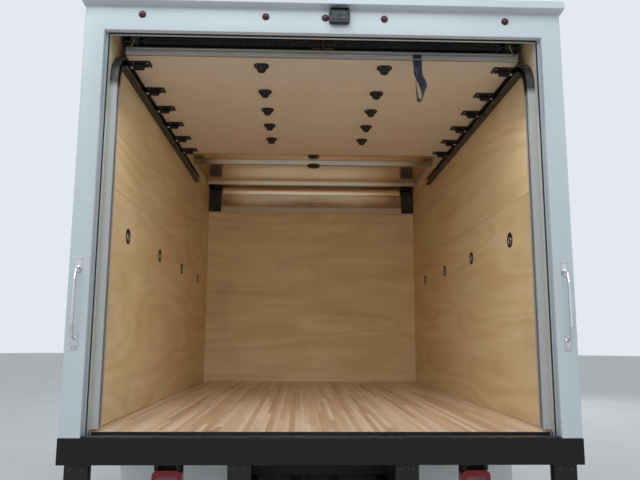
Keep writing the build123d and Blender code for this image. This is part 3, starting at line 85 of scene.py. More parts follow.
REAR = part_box("sill_beam")[0].y
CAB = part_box("cab_shell")[0].y
BODY_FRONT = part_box("front_wall")[1].y
DECK = 0.9
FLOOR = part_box("cargo_floor")[1].z
HOLD_HALF = 1.101
FRONT_AXLE = middle_y("rim_front_left")
REAR_AXLE = middle_y("rim_rear_left")
AXLE_UP = 0.372
print(f"rear face at {REAR:.3f}, cab's back at {CAB:.3f}, axles at {REAR_AXLE:.3f} and {FRONT_AXLE:.3f}")

# %% [markdown]
# ## The camera
# The photograph was taken standing behind the truck, a little left of the middle, with the camera
# tipped up by nine degrees. The place, the turns and the lens were worked out from the corners of
# the doorway and of the hold's far wall, whose real sizes are known.

# %% Set the camera
camera = bpy.data.objects.new("photo_camera", bpy.data.cameras.new("photo_camera"))
scene.collection.objects.link(camera)
camera.data.sensor_width = 36
camera.data.lens = 35.84
camera.data.clip_start = 0.05
camera.data.clip_end = 200
photo_place = Vector((-0.1171, -6.1433, 1.353))
turn_right, tip_up, roll = 0.0312, 0.155, 0.0047
camera.matrix_world = (
    Matrix.Translation(photo_place)
    @ Matrix.Rotation(-turn_right, 4, "Z")
    @ Matrix.Rotation(math.pi / 2 + tip_up, 4, "X")
    @ Matrix.Rotation(roll, 4, "Z")
)
scene.camera = camera
scene.view_settings.view_transform = "Standard"

# %% [markdown]
# ## Node trees in a few words
# A material is a tree of nodes. Writing one out by hand repeats the same steps: make a node, set its
# inputs, link it. These helpers do that, so that each material below reads as a recipe. A node's
# output is kept as a value, and plain arithmetic on values adds the Math nodes that it needs.

# %% Helpers for node trees
class Value:
    """The output of a node; arithmetic on it adds nodes to the same tree."""

    def __init__(self, socket):
        self.socket = socket
        self.tree = socket.id_data

    def step(self, operation, *values):
        """One Math node on the given values, or on this value alone."""
        inputs = dict(enumerate(values or (self,)))
        return value_of(self.tree, "ShaderNodeMath", inputs, operation=operation)

    def __add__(self, other):
        return self.step("ADD", self, other)

    def __sub__(self, other):
        return self.step("SUBTRACT", self, other)

    def __rsub__(self, other):
        return self.step("SUBTRACT", other, self)

    def __mul__(self, other):
        return self.step("MULTIPLY", self, other)

    def __truediv__(self, other):
        return self.step("DIVIDE", self, other)

    def remap(self, low, high, new_low=0.0, new_high=1.0):
        """Stretches a range of this value onto another, and holds what lies outside it."""
        inputs = {"Value": self, "From Min": low, "From Max": high, "To Min": new_low, "To Max": new_high}
        return value_of(self.tree, "ShaderNodeMapRange", inputs)

    def parts(self):
        """The three parts of this vector."""
        outputs = add_node(self.tree, "ShaderNodeSeparateXYZ", {"Vector": self}).outputs
        return [Value(output) for output in outputs]


def feed(socket, value):
    """Links a node's output to a socket, or sets a plain value on it."""
    if isinstance(value, Value):
        socket.id_data.links.new(value.socket, socket)
    else:
        socket.default_value = value


def add_node(tree, kind, inputs=None, **settings):
    """Adds one node, sets its properties and fills its inputs with values or links."""
    node = tree.nodes.new(kind)
    for name, value in settings.items():
        setattr(node, name, value)
    for name, value in (inputs or {}).items():
        feed(node.inputs[name], value)
    return node


def value_of(tree, kind, inputs=None, output=0, **settings):
    """Adds one node, and gives one of its outputs."""
    return Value(add_node(tree, kind, inputs, **settings).outputs[output])


def blend(tree, share, first, second):
    """Mixes two colours by a share from 0 to 1."""
    inputs = {0: share, 6: first, 7: second}
    return value_of(tree, "ShaderNodeMix", inputs, output=2, data_type="RGBA")


def object_place(tree):
    """Where a point lies on the truck."""
    return value_of(tree, "ShaderNodeTexCoord", output="Object")


def surface_facing(tree):
    """Which way the surface faces."""
    return value_of(tree, "ShaderNodeNewGeometry", output="Normal")


def tone(red, green, blue):
    """A colour as a screen shows it, from 0 to 255, turned into Blender's linear values."""
    linear = [c / 3294.6 if c <= 10.3 else ((c / 255 + 0.055) / 1.055) ** 2.4 for c in (red, green, blue)]
    return (*linear, 1.0)


# %% [markdown]
# ## Effects that several finishes share
# Dust near the road, worn edges, a fine bump and the figure of wood each come up in several
# materials. Each is built once, as a node group with named inputs, and placed in the materials with
# its own values. A group gives out only masks, colours and heights, never a finished shader.

# %% Helpers for shader groups
FLOAT, COLOUR, VECTOR = "NodeSocketFloat", "NodeSocketColor", "NodeSocketVector"


def new_group(name, takes, gives):
    """An empty shader group with named inputs and outputs; gives the tree, its inputs and its outputs."""
    tree = bpy.data.node_groups.new(name, "ShaderNodeTree")
    for label, (kind, start) in takes.items():
        tree.interface.new_socket(name=label, in_out="INPUT", socket_type=kind).default_value = start
    for label, kind in gives.items():
        tree.interface.new_socket(name=label, in_out="OUTPUT", socket_type=kind)
    inputs = tree.nodes.new("NodeGroupInput").outputs
    return tree, {label: Value(inputs[label]) for label in takes}, tree.nodes.new("NodeGroupOutput").inputs


def use_group(tree, group, **inputs):
    """Places a shared group in a tree, with its own values or links; gives its outputs by name."""
    node = add_node(tree, "ShaderNodeGroup", inputs, node_tree=group)
    return {output.name: Value(output) for output in node.outputs}


# %% Group: fine bump
fine_bump, takes, gives = new_group(
    "fine_bump",
    {"Scale": (FLOAT, 200.0), "Detail": (FLOAT, 2.0), "Stretch": (VECTOR, (1, 1, 1))},
    {"Height": FLOAT},
)
stretched = value_of(
    fine_bump, "ShaderNodeVectorMath", {0: object_place(fine_bump), 1: takes["Stretch"]}, operation="MULTIPLY"
)
speckle = {"Vector": stretched, "Scale": takes["Scale"], "Detail": takes["Detail"]}
feed(gives["Height"], value_of(fine_bump, "ShaderNodeTexNoise", speckle))


def cloudy(tree, scale, detail, stretch=(1, 1, 1)):
    """A noise over the truck, from 0 to 1, whose middle values are the most common."""
    return use_group(tree, fine_bump, Scale=scale, Detail=detail, Stretch=stretch)["Height"]


# %% Group: road dust
road_dust, takes, gives = new_group(
    "road_dust",
    {"Amount": (FLOAT, 0.3), "Reach": (FLOAT, 1.0), "Scale": (FLOAT, 3.0)},
    {"Mask": FLOAT},
)
place = object_place(road_dust)
near_road = 1.0 - place.parts()[2] / takes["Reach"]
near_road = value_of(road_dust, "ShaderNodeClamp", {"Value": near_road, "Min": 0.12, "Max": 1.0})
clouds = {"Vector": place, "Scale": takes["Scale"], "Detail": 6.0, "Roughness": 0.62}
patches = value_of(road_dust, "ShaderNodeTexNoise", clouds).remap(0.36, 0.72)
feed(gives["Mask"], near_road * patches * takes["Amount"])


def dusty(tree, amount, reach):
    """Where dust lies, from 0 to 1."""
    return use_group(tree, road_dust, Amount=amount, Reach=reach)["Mask"]


# %% Group: worn edges
edge_wear, takes, gives = new_group(
    "edge_wear", {"Radius": (FLOAT, 0.003), "Amount": (FLOAT, 0.6), "Scale": (FLOAT, 40.0)}, {"Mask": FLOAT}
)
rounded = value_of(edge_wear, "ShaderNodeBevel", {"Radius": takes["Radius"]}, samples=4)
match = {0: rounded, 1: surface_facing(edge_wear)}
rim = value_of(edge_wear, "ShaderNodeVectorMath", match, "Value", operation="DOT_PRODUCT").remap(0.995, 0.93)
nicks = {"Vector": object_place(edge_wear), "Scale": takes["Scale"], "Detail": 5.0}
nicks = value_of(edge_wear, "ShaderNodeTexNoise", nicks).remap(0.45, 0.6)
feed(gives["Mask"], rim * nicks * takes["Amount"])

# %% [markdown]
# ## The figure of wood
# A sheet of pine plywood is peeled from a turning log, so its year rings show as long flames and
# islands, like the contour lines of a map. Contour lines are what the group draws: a slow noise is
# drawn out along the grain, cut into many levels, and fine fibres are laid over it.

# %% Group: wood figure
wood_figure, takes, gives = new_group(
    "wood_figure",
    {
        "Place": (VECTOR, (0, 0, 0)),
        "Rings": (FLOAT, 9.0),
        "Swirl": (FLOAT, 1.0),
        "Light": (COLOUR, tone(232, 208, 168)),
        "Dark": (COLOUR, tone(196, 152, 100)),
        "Contrast": (FLOAT, 0.6),
    },
    {"Color": COLOUR, "Height": FLOAT, "Fibre": FLOAT},
)


def wood_noise(place, scale, detail, output=0):
    """One noise of the wood figure."""
    inputs = {"Vector": place, "Scale": scale, "Detail": detail}
    return value_of(wood_figure, "ShaderNodeTexNoise", inputs, output)


def drawn_out(scale):
    """The place on the sheet, scaled along and across its grain."""
    return value_of(wood_figure, "ShaderNodeMapping", {"Vector": takes["Place"], "Scale": scale})


long_way = drawn_out((0.34, 1.8, 1.0))
wander = {0: wood_noise(long_way, 1.6, 2.0, "Color"), "Scale": takes["Swirl"]}
wander = value_of(wood_figure, "ShaderNodeVectorMath", wander, operation="SCALE")
warped = value_of(wood_figure, "ShaderNodeVectorMath", {0: long_way, 1: wander}, operation="ADD")
levels = wood_noise(warped, 0.9, 1.5) * (takes["Rings"] * 2.0)
ring = levels.step("PINGPONG", levels, 0.5).remap(0.0, 0.42)
fibre = wood_noise(drawn_out((3.0, 150.0, 1.0)), 1.5, 4.0)
blotches = wood_noise(warped, 3.2, 5.0).remap(0.4, 0.75, 0.0, 0.4)
shade = (1.0 - ring) * takes["Contrast"] + fibre.remap(0.35, 0.75, 0.0, 0.28) + blotches
shade = value_of(wood_figure, "ShaderNodeClamp", {"Value": shade})
feed(gives["Color"], blend(wood_figure, shade, takes["Light"], takes["Dark"]))
feed(gives["Fibre"], fibre)
feed(gives["Height"], ring + fibre)


# %% Helpers for materials
def new_finish(name, **plain):
    """A material with one main shader, whose plain inputs are set on its own sockets."""
    material = bpy.data.materials.new(name)
    material.use_nodes = True
    shader = material.node_tree.nodes["Principled BSDF"]
    for label, value in plain.items():
        shader.inputs[label.replace("_", " ")].default_value = value
    return material, material.node_tree, shader


def surface(shader, colour, roughness, height=None, depth=0.0):
    """Feeds a shader its colour and roughness, and a height as a bump of a depth in metres."""
    if colour:
        feed(shader.inputs["Base Color"], colour)
    feed(shader.inputs["Roughness"], roughness)
    if height:
        bump = {"Height": height, "Distance": depth, "Strength": 1.0}
        feed(shader.inputs["Normal"], value_of(shader.id_data, "ShaderNodeBump", bump))


# %% [markdown]
# ## Painted metal
# Sprayed paint is never quite flat: it dries with a faint orange-peel ripple, and dust settles on
# it, most of it low down. One recipe makes the white of the body, of the cab and of the wheels, and
# the satin black of the sill and the chassis, because they differ only in their numbers.

# %% Painted finishes
DUST = tone(150, 140, 124)


def painted(name, colour, dirt, roughness, dust, reach, coat=0.0, ripple=0.00012, bare=None, shine=0.5, wear=0.3):
    """Paint with orange peel, dust near the road, and edges worn to bare metal where its tone is given."""
    material, tree, shader = new_finish(name, Coat_Weight=coat, Coat_Roughness=0.08, Specular_IOR_Level=shine)
    mask = dusty(tree, dust, reach)
    hue = blend(tree, mask, colour, dirt)
    if bare:
        hue = blend(tree, use_group(tree, edge_wear, Radius=0.004, Amount=wear)["Mask"], hue, bare)
    gloss = cloudy(tree, 6.0, 5.0).remap(0.3, 0.7, roughness * 0.8, roughness * 1.25)
    surface(shader, hue, gloss + mask * 0.35, cloudy(tree, 260.0, 1.0), ripple)
    return material


# The body's white is darker than the cab's and the rails': painted shade, because the body's rear face stands in shade.
body_paint = painted("body_white", tone(198, 206, 210), tone(180, 177, 168), 0.34, 0.3, 1.6, coat=0.2)
cab_paint = painted("cab_white", tone(220, 225, 228), tone(190, 186, 176), 0.24, 0.35, 1.0, coat=0.5)
rail_paint = painted("rail_white", tone(214, 220, 222), tone(182, 178, 168), 0.34, 0.3, 1.4, coat=0.2)
wheel_paint = painted("wheel_white", tone(206, 209, 211), DUST, 0.36, 0.7, 0.7, bare=tone(150, 146, 140))
sill_black = painted(
    "sill_black", tone(8, 8, 10), tone(60, 57, 52), 0.5, 0.2, 1.2, ripple=0.0002, bare=tone(105, 105, 105), shine=0.3
)
frame_black = painted(
    "frame_black", tone(26, 26, 28), tone(112, 106, 98), 0.6, 0.5, 0.9, ripple=0.0003, bare=tone(96, 90, 84), wear=0.2
)
tank_black = painted("tank_black", tone(46, 46, 49), DUST, 0.4, 0.6, 0.9, ripple=0.0003)
hinge_black = painted(
    "hinge_black", tone(11, 10, 11), tone(50, 46, 42), 0.55, 0.1, 1.1, ripple=0.0001, bare=tone(96, 94, 90)
)
door_cream = painted("door_cream", tone(221, 208, 190), tone(204, 190, 168), 0.42, 0.5, 9.0, ripple=0.00008)

# %% [markdown]
# ## Bare metal
# Mill aluminium keeps fine lines from the rolls that made it, zinc keeps its crystals, and cast
# iron its rough skin. Each gets a metallic shader whose roughness and bump vary: the lines come
# from a noise that is stretched a hundredfold along the sheet, the crystals from Voronoi cells.

# %% Metal finishes
def rolled_metal(name, colour, low, high, stretch, depth=0.00015):
    """Metal with fine lines along one direction, and cloudy patches in its gloss."""
    material, tree, shader = new_finish(name, Metallic=1.0)
    lines = cloudy(tree, 3.0, 6.0, stretch)
    mixed = (lines + cloudy(tree, 2.2, 4.0)) * 0.5
    darker = (*(c * 0.8 for c in colour[:3]), 1.0)
    hue = blend(tree, mixed.remap(0.4, 0.62), darker, colour)
    surface(shader, hue, mixed.remap(0.35, 0.65, low, high), lines, depth)
    return material


rail_aluminium = rolled_metal("rail_aluminium", tone(204, 202, 198), 0.32, 0.46, (1.5, 120.0, 120.0), 0.0001)
# The roof bows' aluminium is tinted warm: a painted reflection of the wood in the hold.
roof_aluminium = rolled_metal("roof_aluminium", tone(206, 190, 168), 0.14, 0.28, (90.0, 2.0, 90.0), 0.00005)
dull_steel = rolled_metal("dull_steel", tone(176, 172, 166), 0.34, 0.6, (30.0, 2.0, 30.0), 0.0002)
polished_steel = rolled_metal("polished_steel", tone(224, 225, 227), 0.1, 0.22, (60.0, 60.0, 3.0), 0.00004)
lamp_chrome = rolled_metal("lamp_chrome", tone(236, 238, 240), 0.03, 0.08, (4.0, 4.0, 4.0), 0.00002)
mirror_face = rolled_metal("mirror_face", tone(222, 226, 228), 0.01, 0.05, (3.0, 3.0, 3.0), 0.000001)
worn_tread = rolled_metal("worn_tread", tone(142, 138, 136), 0.3, 0.5, (20.0, 20.0, 20.0))

zinc, tree, shader = new_finish("zinc", Metallic=1.0)
cells = {"Vector": object_place(tree), "Scale": 75.0}
cells = value_of(tree, "ShaderNodeTexVoronoi", cells, "Color")
grey = value_of(tree, "ShaderNodeSeparateColor", {"Color": cells}, "Red")
surface(shader, blend(tree, grey, tone(158, 162, 166), tone(196, 199, 202)), grey.remap(0, 1, 0.3, 0.52), grey, 0.00006)


def cast_metal(name, colour, dirt, roughness, dust):
    """Iron with the coarse skin of its mould."""
    material, tree, shader = new_finish(name, Metallic=0.55)
    skin = cloudy(tree, 140.0, 6.0)
    gloss = skin.remap(0.3, 0.7, roughness * 0.85, roughness * 1.15)
    surface(shader, blend(tree, dusty(tree, dust, 0.9), colour, dirt), gloss, skin, 0.0009)
    return material


axle_iron = cast_metal("axle_iron", tone(52, 51, 52), DUST, 0.62, 0.6)
engine_iron = cast_metal("engine_iron", tone(122, 123, 124), tone(96, 90, 82), 0.5, 0.4)

# %% Track finish
# The tracks are pale where they stand behind the posts, and black from the bend on.
track_steel, tree, shader = new_finish("track_steel")
overhead = object_place(tree).parts()[2].remap(DECK + 1.72, DECK + 1.76)
scratches = cloudy(tree, 9.0, 7.0, (6.0, 1.0, 6.0))
overhead = overhead * scratches.remap(0.66, 0.7, 1.0, 0.55)
hue = blend(tree, overhead, tone(172, 171, 168), tone(34, 33, 34))
surface(shader, hue, scratches.remap(0.3, 0.7, 0.3, 0.5), scratches, 0.0001)

# %% Front wall and roof finish
# The body's nose is white outside, and its sheets are bare metal inside. The roof's top is a plainer grey than the
# underside and the inner faces, whose warm tone is a painted reflection of the wood in the hold.
skin_sheet, tree, shader = new_finish("skin_sheet")
x = object_place(tree).parts()[0]
faces_side, faces_ahead, faces_up = surface_facing(tree).parts()
corner = x.step("ABSOLUTE").remap(1.15, 1.16) * faces_side.step("ABSOLUTE").remap(0.25, 0.35)
outside = x.step("MAXIMUM", faces_ahead.remap(0.25, 0.35), corner)
overhead = faces_up.remap(0.3, 0.5)
lines = cloudy(tree, 2.0, 4.0, (1.0, 40.0, 40.0))
dents = cloudy(tree, 2.0, 2.0, (0.7, 1.0, 1.6))
mixed = (lines + dents) * 0.5
shine = mixed.remap(0.4, 0.62)
# The warm tones of the inner faces are a painted reflection of the hold's wood.
under = blend(tree, shine, tone(226, 202, 172), tone(240, 222, 196))
top = blend(tree, shine, tone(186, 188, 190), tone(206, 208, 210))
hue = blend(tree, outside, blend(tree, overhead, under, top), tone(198, 206, 210))
surface(shader, hue, mixed.remap(0.35, 0.65, 0.12, 0.26) + outside * 0.1, dents + lines * 0.01, 0.006)
feed(shader.inputs["Metallic"], 1.0 - outside)

# %% Front trim finish
# The angle trim over the front lining is pale, and the corner pieces beside it are black.
corner_steel, tree, shader = new_finish("corner_steel", Metallic=0.35)
x, _, z = object_place(tree).parts()
corner = x.step("ABSOLUTE").remap(0.970, 0.973) * z.remap(2.703, 2.705)
brushed = cloudy(tree, 4.0, 6.0, (2.0, 60.0, 60.0))
hue = blend(tree, corner, tone(212, 200, 182), tone(40, 38, 36))
surface(shader, hue, brushed.remap(0.3, 0.7, 0.28, 0.5), brushed, 0.0001)

# %% [markdown]
# ## Plywood linings
# The side linings lie in the plane of Y and Z, and the far one in the plane of X and Z. One
# material serves all of them: it looks at which way the surface faces, and lays the grain along
# the sheet's length. A different slice of the noise is used for each side and for each row.

# %% Plywood finish
UPPER_SHEET = FLOOR + 1.219
plywood, tree, shader = new_finish("plywood")
x, y, z = object_place(tree).parts()
sideways = surface_facing(tree).parts()[0].step("ABSOLUTE")
sideways = sideways.step("GREATER_THAN", sideways, 0.5)
along_sheet = y * sideways + x * (1.0 - sideways)
upper_row = z.step("GREATER_THAN", z, UPPER_SHEET) * sideways
own_slice = x.step("SIGN") * (sideways * 3.3) + upper_row * 7.7
sheet_place = value_of(tree, "ShaderNodeCombineXYZ", {"X": along_sheet, "Y": z, "Z": own_slice})
figure = use_group(
    tree, wood_figure, Place=sheet_place, Rings=6.0, Swirl=0.6, Contrast=0.27,
    Light=tone(238, 217, 177), Dark=tone(206, 171, 120),
)
scuffs = cloudy(tree, 2.4, 8.0).remap(0.58, 0.75, 0.0, 0.22)
hue = blend(tree, scuffs, figure["Color"], tone(188, 156, 116))
surface(shader, hue, figure["Fibre"].remap(0.3, 0.7, 0.42, 0.62), figure["Height"], 0.0002)

# %% [markdown]
# ## The laminated floor
# The floor is glued up from hardwood strips about three centimetres wide, each a little different
# in tone, and the strips are made of shorter lengths. Arithmetic finds the strip that a point is
# in, and the length of it, and white noise gives that piece its tone; the wood figure goes on top.

# %% Floor finish
STRIP_WIDTH = 0.0275
STRIP_LENGTH = 1.35
floor_boards, tree, shader = new_finish("floor_boards", Coat_Weight=0.12, Coat_Roughness=0.25)
x, y, _ = object_place(tree).parts()
across_floor = x / STRIP_WIDTH
strip = across_floor.step("FLOOR")
stagger = value_of(tree, "ShaderNodeTexWhiteNoise", {"W": strip}, "Value", noise_dimensions="1D")
length = (y / STRIP_LENGTH + stagger).step("FLOOR")
piece = value_of(tree, "ShaderNodeCombineXYZ", {"X": strip, "Y": length})
piece_tone = value_of(tree, "ShaderNodeTexWhiteNoise", {"Vector": piece}, "Value", noise_dimensions="2D")
shifted = value_of(tree, "ShaderNodeCombineXYZ", {"X": y, "Y": x, "Z": piece_tone * 40.0})
figure = use_group(
    tree, wood_figure, Place=shifted, Rings=5.0, Swirl=0.25, Contrast=0.25,
    Light=tone(236, 208, 178), Dark=tone(172, 130, 94),
)
ramp = add_node(tree, "ShaderNodeValToRGB", {"Fac": piece_tone})
ramp.color_ramp.elements[0].color = tone(190, 150, 114)
ramp.color_ramp.elements[1].color = tone(250, 230, 206)
ramp.color_ramp.elements.new(0.5).color = tone(226, 192, 160)
glue_line = (across_floor.step("FRACT") - 0.5).step("ABSOLUTE").remap(0.455, 0.5, 0.0, 0.45)
traffic = cloudy(tree, 1.3, 7.0, (1.0, 0.5, 1.0))
hue = blend(tree, 0.65, figure["Color"], Value(ramp.outputs["Color"]))
hue = blend(tree, glue_line, hue, tone(128, 92, 62))
hue = blend(tree, traffic.remap(0.5, 0.72, 0.0, 0.3), hue, tone(170, 146, 124))
surface(shader, hue, traffic.remap(0.35, 0.65, 0.3, 0.52), figure["Fibre"] - glue_line, 0.0003)

# %% [markdown]
# ## Plastic, rubber, cloth and glass
# Moulded plastic has a fine leather-like grain, rubber is duller and takes dust, webbing and seat
# cloth are woven. Glass is left to the shader: it only needs its thickness, a tint and a low
# roughness. Lamp lenses are glass with ribs moulded on the inside.

# %% Plastic and rubber finishes
def moulded(name, colour, roughness, scale=900.0, depth=0.00012, dust=0.25, dirt=DUST, reach=1.2):
    """Grained plastic or rubber."""
    material, tree, shader = new_finish(name)
    grain = cloudy(tree, scale, 2.0)
    gloss = grain.remap(0.3, 0.7, roughness * 0.88, roughness * 1.12)
    surface(shader, blend(tree, dusty(tree, dust, reach), colour, dirt), gloss, grain, depth)
    return material


trim_black = moulded("trim_black", tone(36, 36, 38), 0.55)
camera_black = moulded("camera_black", tone(26, 26, 28), 0.42, dust=0.1)
bumper_grey = moulded("bumper_grey", tone(66, 67, 70), 0.6, scale=500.0, depth=0.0003)
dash_grey = moulded("dash_grey", tone(86, 87, 91), 0.6, scale=420.0, depth=0.0003, dust=0.05)
flap_white = moulded("flap_white", tone(232, 234, 234), 0.5, scale=120.0, dust=0.4, reach=0.7)
seal_rubber = moulded("seal_rubber", tone(22, 22, 23), 0.7, scale=300.0, dust=0.1)
tyre_rubber = moulded(
    "tyre_rubber", tone(38, 38, 39), 0.72, scale=300.0, depth=0.0002, dust=0.6, dirt=tone(104, 98, 90), reach=0.9
)


# %% Woven finishes
def woven(name, first, second, pitch, roughness):
    """Cloth of two sets of threads, which pass over and under each other."""
    material, tree, shader = new_finish(name, Sheen_Weight=0.25, Sheen_Roughness=0.5)
    place = value_of(tree, "ShaderNodeUVMap", output="UV", uv_map="weave")
    scaled = {0: place, "Scale": 1.0 / pitch}
    x, y, _ = value_of(tree, "ShaderNodeVectorMath", scaled, operation="SCALE").parts()
    crossing = x.step("FLOOR") + y.step("FLOOR")
    over = crossing.step("MODULO", crossing, 2.0)
    warp = (x.step("FRACT") * math.pi).step("SINE")
    weft = (y.step("FRACT") * math.pi).step("SINE")
    height = weft + (warp - weft) * over
    hue = blend(tree, height, first, second)
    surface(shader, hue, height.remap(0.0, 1.0, roughness, roughness * 0.85), height, pitch * 0.3)
    return material


webbing = woven("webbing", tone(10, 11, 20), tone(34, 38, 64), 0.0022, 0.75)
seat_cloth = woven("seat_cloth", tone(48, 49, 52), tone(88, 90, 95), 0.0035, 0.9)


# %% Clear finishes
def clear_glass(name, colour, roughness=0.0, ribs=0.0, clear=1.0):
    """Glass or clear plastic, plain or with a fine ribbed inner face; a low clear value is milky."""
    material, tree, shader = new_finish(name, Transmission_Weight=clear, IOR=1.45, Base_Color=colour)
    haze = cloudy(tree, 5.0, 5.0).remap(0.4, 0.7, roughness, roughness + 0.03)
    surface(shader, None, haze, cloudy(tree, ribs, 0.0) if ribs else None, 0.0006)
    return material


window_glass = clear_glass("window_glass", tone(214, 226, 222))
lamp_clear = clear_glass("lamp_clear", tone(240, 243, 245), 0.02, ribs=60.0)
lamp_red = clear_glass("lamp_red", tone(178, 10, 20), 0.08, ribs=120.0, clear=0.25)
marker_red = clear_glass("marker_red", tone(92, 8, 12), 0.08, ribs=160.0, clear=0.4)
lamp_amber = clear_glass("lamp_amber", tone(240, 120, 16), 0.05, ribs=120.0, clear=0.3)
print(f"{len(bpy.data.materials)} materials")

# %% [markdown]
# ## Finishes, the record's names for them, and the solids they cover
# One table says which solids a finish covers. The first word of each row is the engineering record's name for that
# finish, and the rest of the row are solids.

# %% Table of finishes
FINISHES = {
    frame_black: "frame_black frame_rails frame_crossmembers body_subframe rear_brackets",
    sill_black: "frame_black",
    axle_iron: "axle_iron front_axle rear_axle springs knuckle_left knuckle_right",
    engine_iron: "engine_iron drive_line",
    # The spring shaft wears this dark grey, not the hinges' black: painted light that lifts the shade in the gap above
    # the door.
    tank_black: "axle_iron fuel_tank spring_shaft",
    dull_steel: "zinc exhaust",
    polished_steel: "zinc grab_handles",
    zinc: "zinc",
    lamp_chrome: "zinc",
    mirror_face: "glass",
    floor_boards: "floor_wood cargo_floor",
    plywood: "lining_wood cargo_lining",
    body_paint: "body_white side_wall_left side_wall_right",
    rail_paint: "rim_white body_rails",
    roof_aluminium: "mill_aluminium roof_bows",
    skin_sheet: "mill_aluminium front_wall roof",
    corner_steel: "mill_aluminium front_trim",
    rail_aluminium: "mill_aluminium door_bottom_rail",
    worn_tread: "frame_black",
    door_cream: "door_cream door_sections",
    track_steel: "hinge_black door_tracks",
    hinge_black: "hinge_black door_hinges tie_rings",
    camera_black: "camera_black rear_camera",
    flap_white: "flap_white mudflaps",
    cab_paint: "cab_white cab_shell fenders hood cab_door_left cab_door_right",
    trim_black: "trim_black grille wheel_liners mirror_left mirror_right steering_wheel",
    bumper_grey: "bumper_grey front_bumper",
    lamp_clear: "lamp_clear headlamps",
    lamp_amber: "lamp_clear",
    window_glass: "glass windscreen door_glass_left door_glass_right",
    dash_grey: "dash_grey dashboard",
    wheel_paint: "rim_white rim_front_left rim_front_right rim_rear_left rim_rear_right",
    tyre_rubber: "tyre tyre_front_left tyre_front_right tyre_rear_left tyre_rear_right",
    seal_rubber: "trim_black pull_strap seats",
    lamp_red: "lamp_red rear_lamps",
    marker_red: "lamp_red",
    webbing: "strap_webbing",
    seat_cloth: "seat_cloth",
}
for material, words in FINISHES.items():
    for node in words.split()[1:]:
        nodes[node].data.materials.clear()
        nodes[node].data.materials.append(material)
print(f"{sum(len(words.split()) - 1 for words in FINISHES.values())} solids have a finish")

# %% [markdown]
# ## New pieces
# A new piece is drawn as a bmesh, which closed shapes are added to one by one. Then it is put into the
# scene with its finish, the body that it rides on, smooth shading and, if wanted, softened edges.

# %% Helpers for pieces
def put(name, shape):
    """Puts a finished mesh into the scene as an object at the origin."""
    if isinstance(shape, bmesh.types.BMesh):
        if all(edge.is_manifold for edge in shape.edges):
            bmesh.ops.recalc_face_normals(shape, faces=shape.faces)
        mesh = bpy.data.meshes.new(name)
        shape.to_mesh(mesh)
        shape.free()
        shape = mesh
    piece = bpy.data.objects.new(name, shape)
    scene.collection.objects.link(piece)
    return piece


def finish(piece, material, body="chassis", slot=None, smooth=None, edge=None):
    """Gives a piece its material and body; smooth is an angle, and edge a width and its segments."""
    piece.data.materials.clear()
    piece.data.materials.append(material)
    if smooth:
        piece.data.shade_smooth()
        piece.data.set_sharp_from_angle(angle=math.radians(smooth))
    if edge:
        soft = piece.modifiers.new("softened edges", "BEVEL")
        soft.width, soft.segments = edge
        soft.limit_method = "ANGLE"
        soft.angle_limit = math.radians(35)
    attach(piece, body)
    slot or FINISHES[material].split()[0]
    return piece


def make(name, shape, material, **finishing):
    """Puts a new piece into the scene with its finish."""
    return finish(put(name, shape), material, **finishing)


def drawings(count):
    """As many empty shapes as asked for."""
    return [bmesh.new() for _ in range(count)]


def circle(sides):
    """The angles of even steps round a circle."""
    return [2 * math.pi * n / sides for n in range(sides)]


def scaled(*size):
    """A matrix that scales a shape along its three axes."""
    return Matrix.Diagonal((*size, 1))


def add_brick(shape, middle, size, placed=Matrix()):
    """Adds a box about its middle."""
    bmesh.ops.create_cube(shape, size=1, matrix=placed @ Matrix.Translation(middle) @ scaled(*size))


def add_box(shape, low, high):
    """Adds a box between two corners."""
    middle = [(a + b) / 2 for a, b in zip(low, high)]
    add_brick(shape, middle, [b - a for a, b in zip(low, high)])


def add_bar(shape, centre, axis, radius, length, sides=24, taper=1.0):
    """Adds a round bar, centred and along an axis."""
    turn = Vector(axis).to_track_quat("Z", "Y").to_matrix().to_4x4()
    return bmesh.ops.create_cone(
        shape, cap_ends=True, segments=sides, radius1=radius, radius2=radius * taper, depth=length,
        matrix=Matrix.Translation(centre) @ turn,
    )["verts"]


def add_screws(shape, centre, offsets, way, *head):
    """Adds a short bar at each offset from a place; a head is its radius, length, sides and taper."""
    for offset in offsets:
        add_bar(shape, Vector(centre) + Vector(offset), way, *head)


def add_dome(shape, placed, size, around=20, up=10):
    """Adds a ball, scaled along three axes, at a place given by its matrix."""
    bmesh.ops.create_uvsphere(shape, u_segments=around, v_segments=up, radius=1, matrix=placed @ scaled(*size))


def add_prism(shape, one, other):
    """Adds a closed shape between two outlines."""
    one, other = [[shape.verts.new(point) for point in outline] for outline in (one, other)]
    shape.faces.new(one)
    shape.faces.new(list(reversed(other)))
    for n, a in enumerate(one):
        m = (n + 1) % len(one)
        shape.faces.new((a, other[n], other[m], one[m]))


def add_plate(shape, centre, size, corner, depth):
    """Adds a plate with rounded corners that faces -Y, or +Y with a negative depth."""
    x, y, z = centre
    width, height = size[0] / 2 - corner, size[1] / 2 - corner
    outline = []
    for quarter, (right, upper) in enumerate(((1, 1), (-1, 1), (-1, -1), (1, -1))):
        for angle in (math.pi / 2 * (quarter + n / 5) for n in range(6)):
            across, up = right * width + corner * math.cos(angle), upper * height + corner * math.sin(angle)
            outline.append((x + across, z + up))
    add_prism(shape, *([(across, at, up) for across, up in outline] for at in (y, y - depth)))


def seated(point, facing, along=ACROSS):
    """A matrix that puts a small shape on a surface: its Z is the facing, its X goes along."""
    up = Vector(facing).normalized()
    ahead = (Vector(along) - up * Vector(along).dot(up)).normalized()
    turn = Matrix((ahead, up.cross(ahead), up)).transposed().to_4x4()
    return Matrix.Translation(point) @ turn


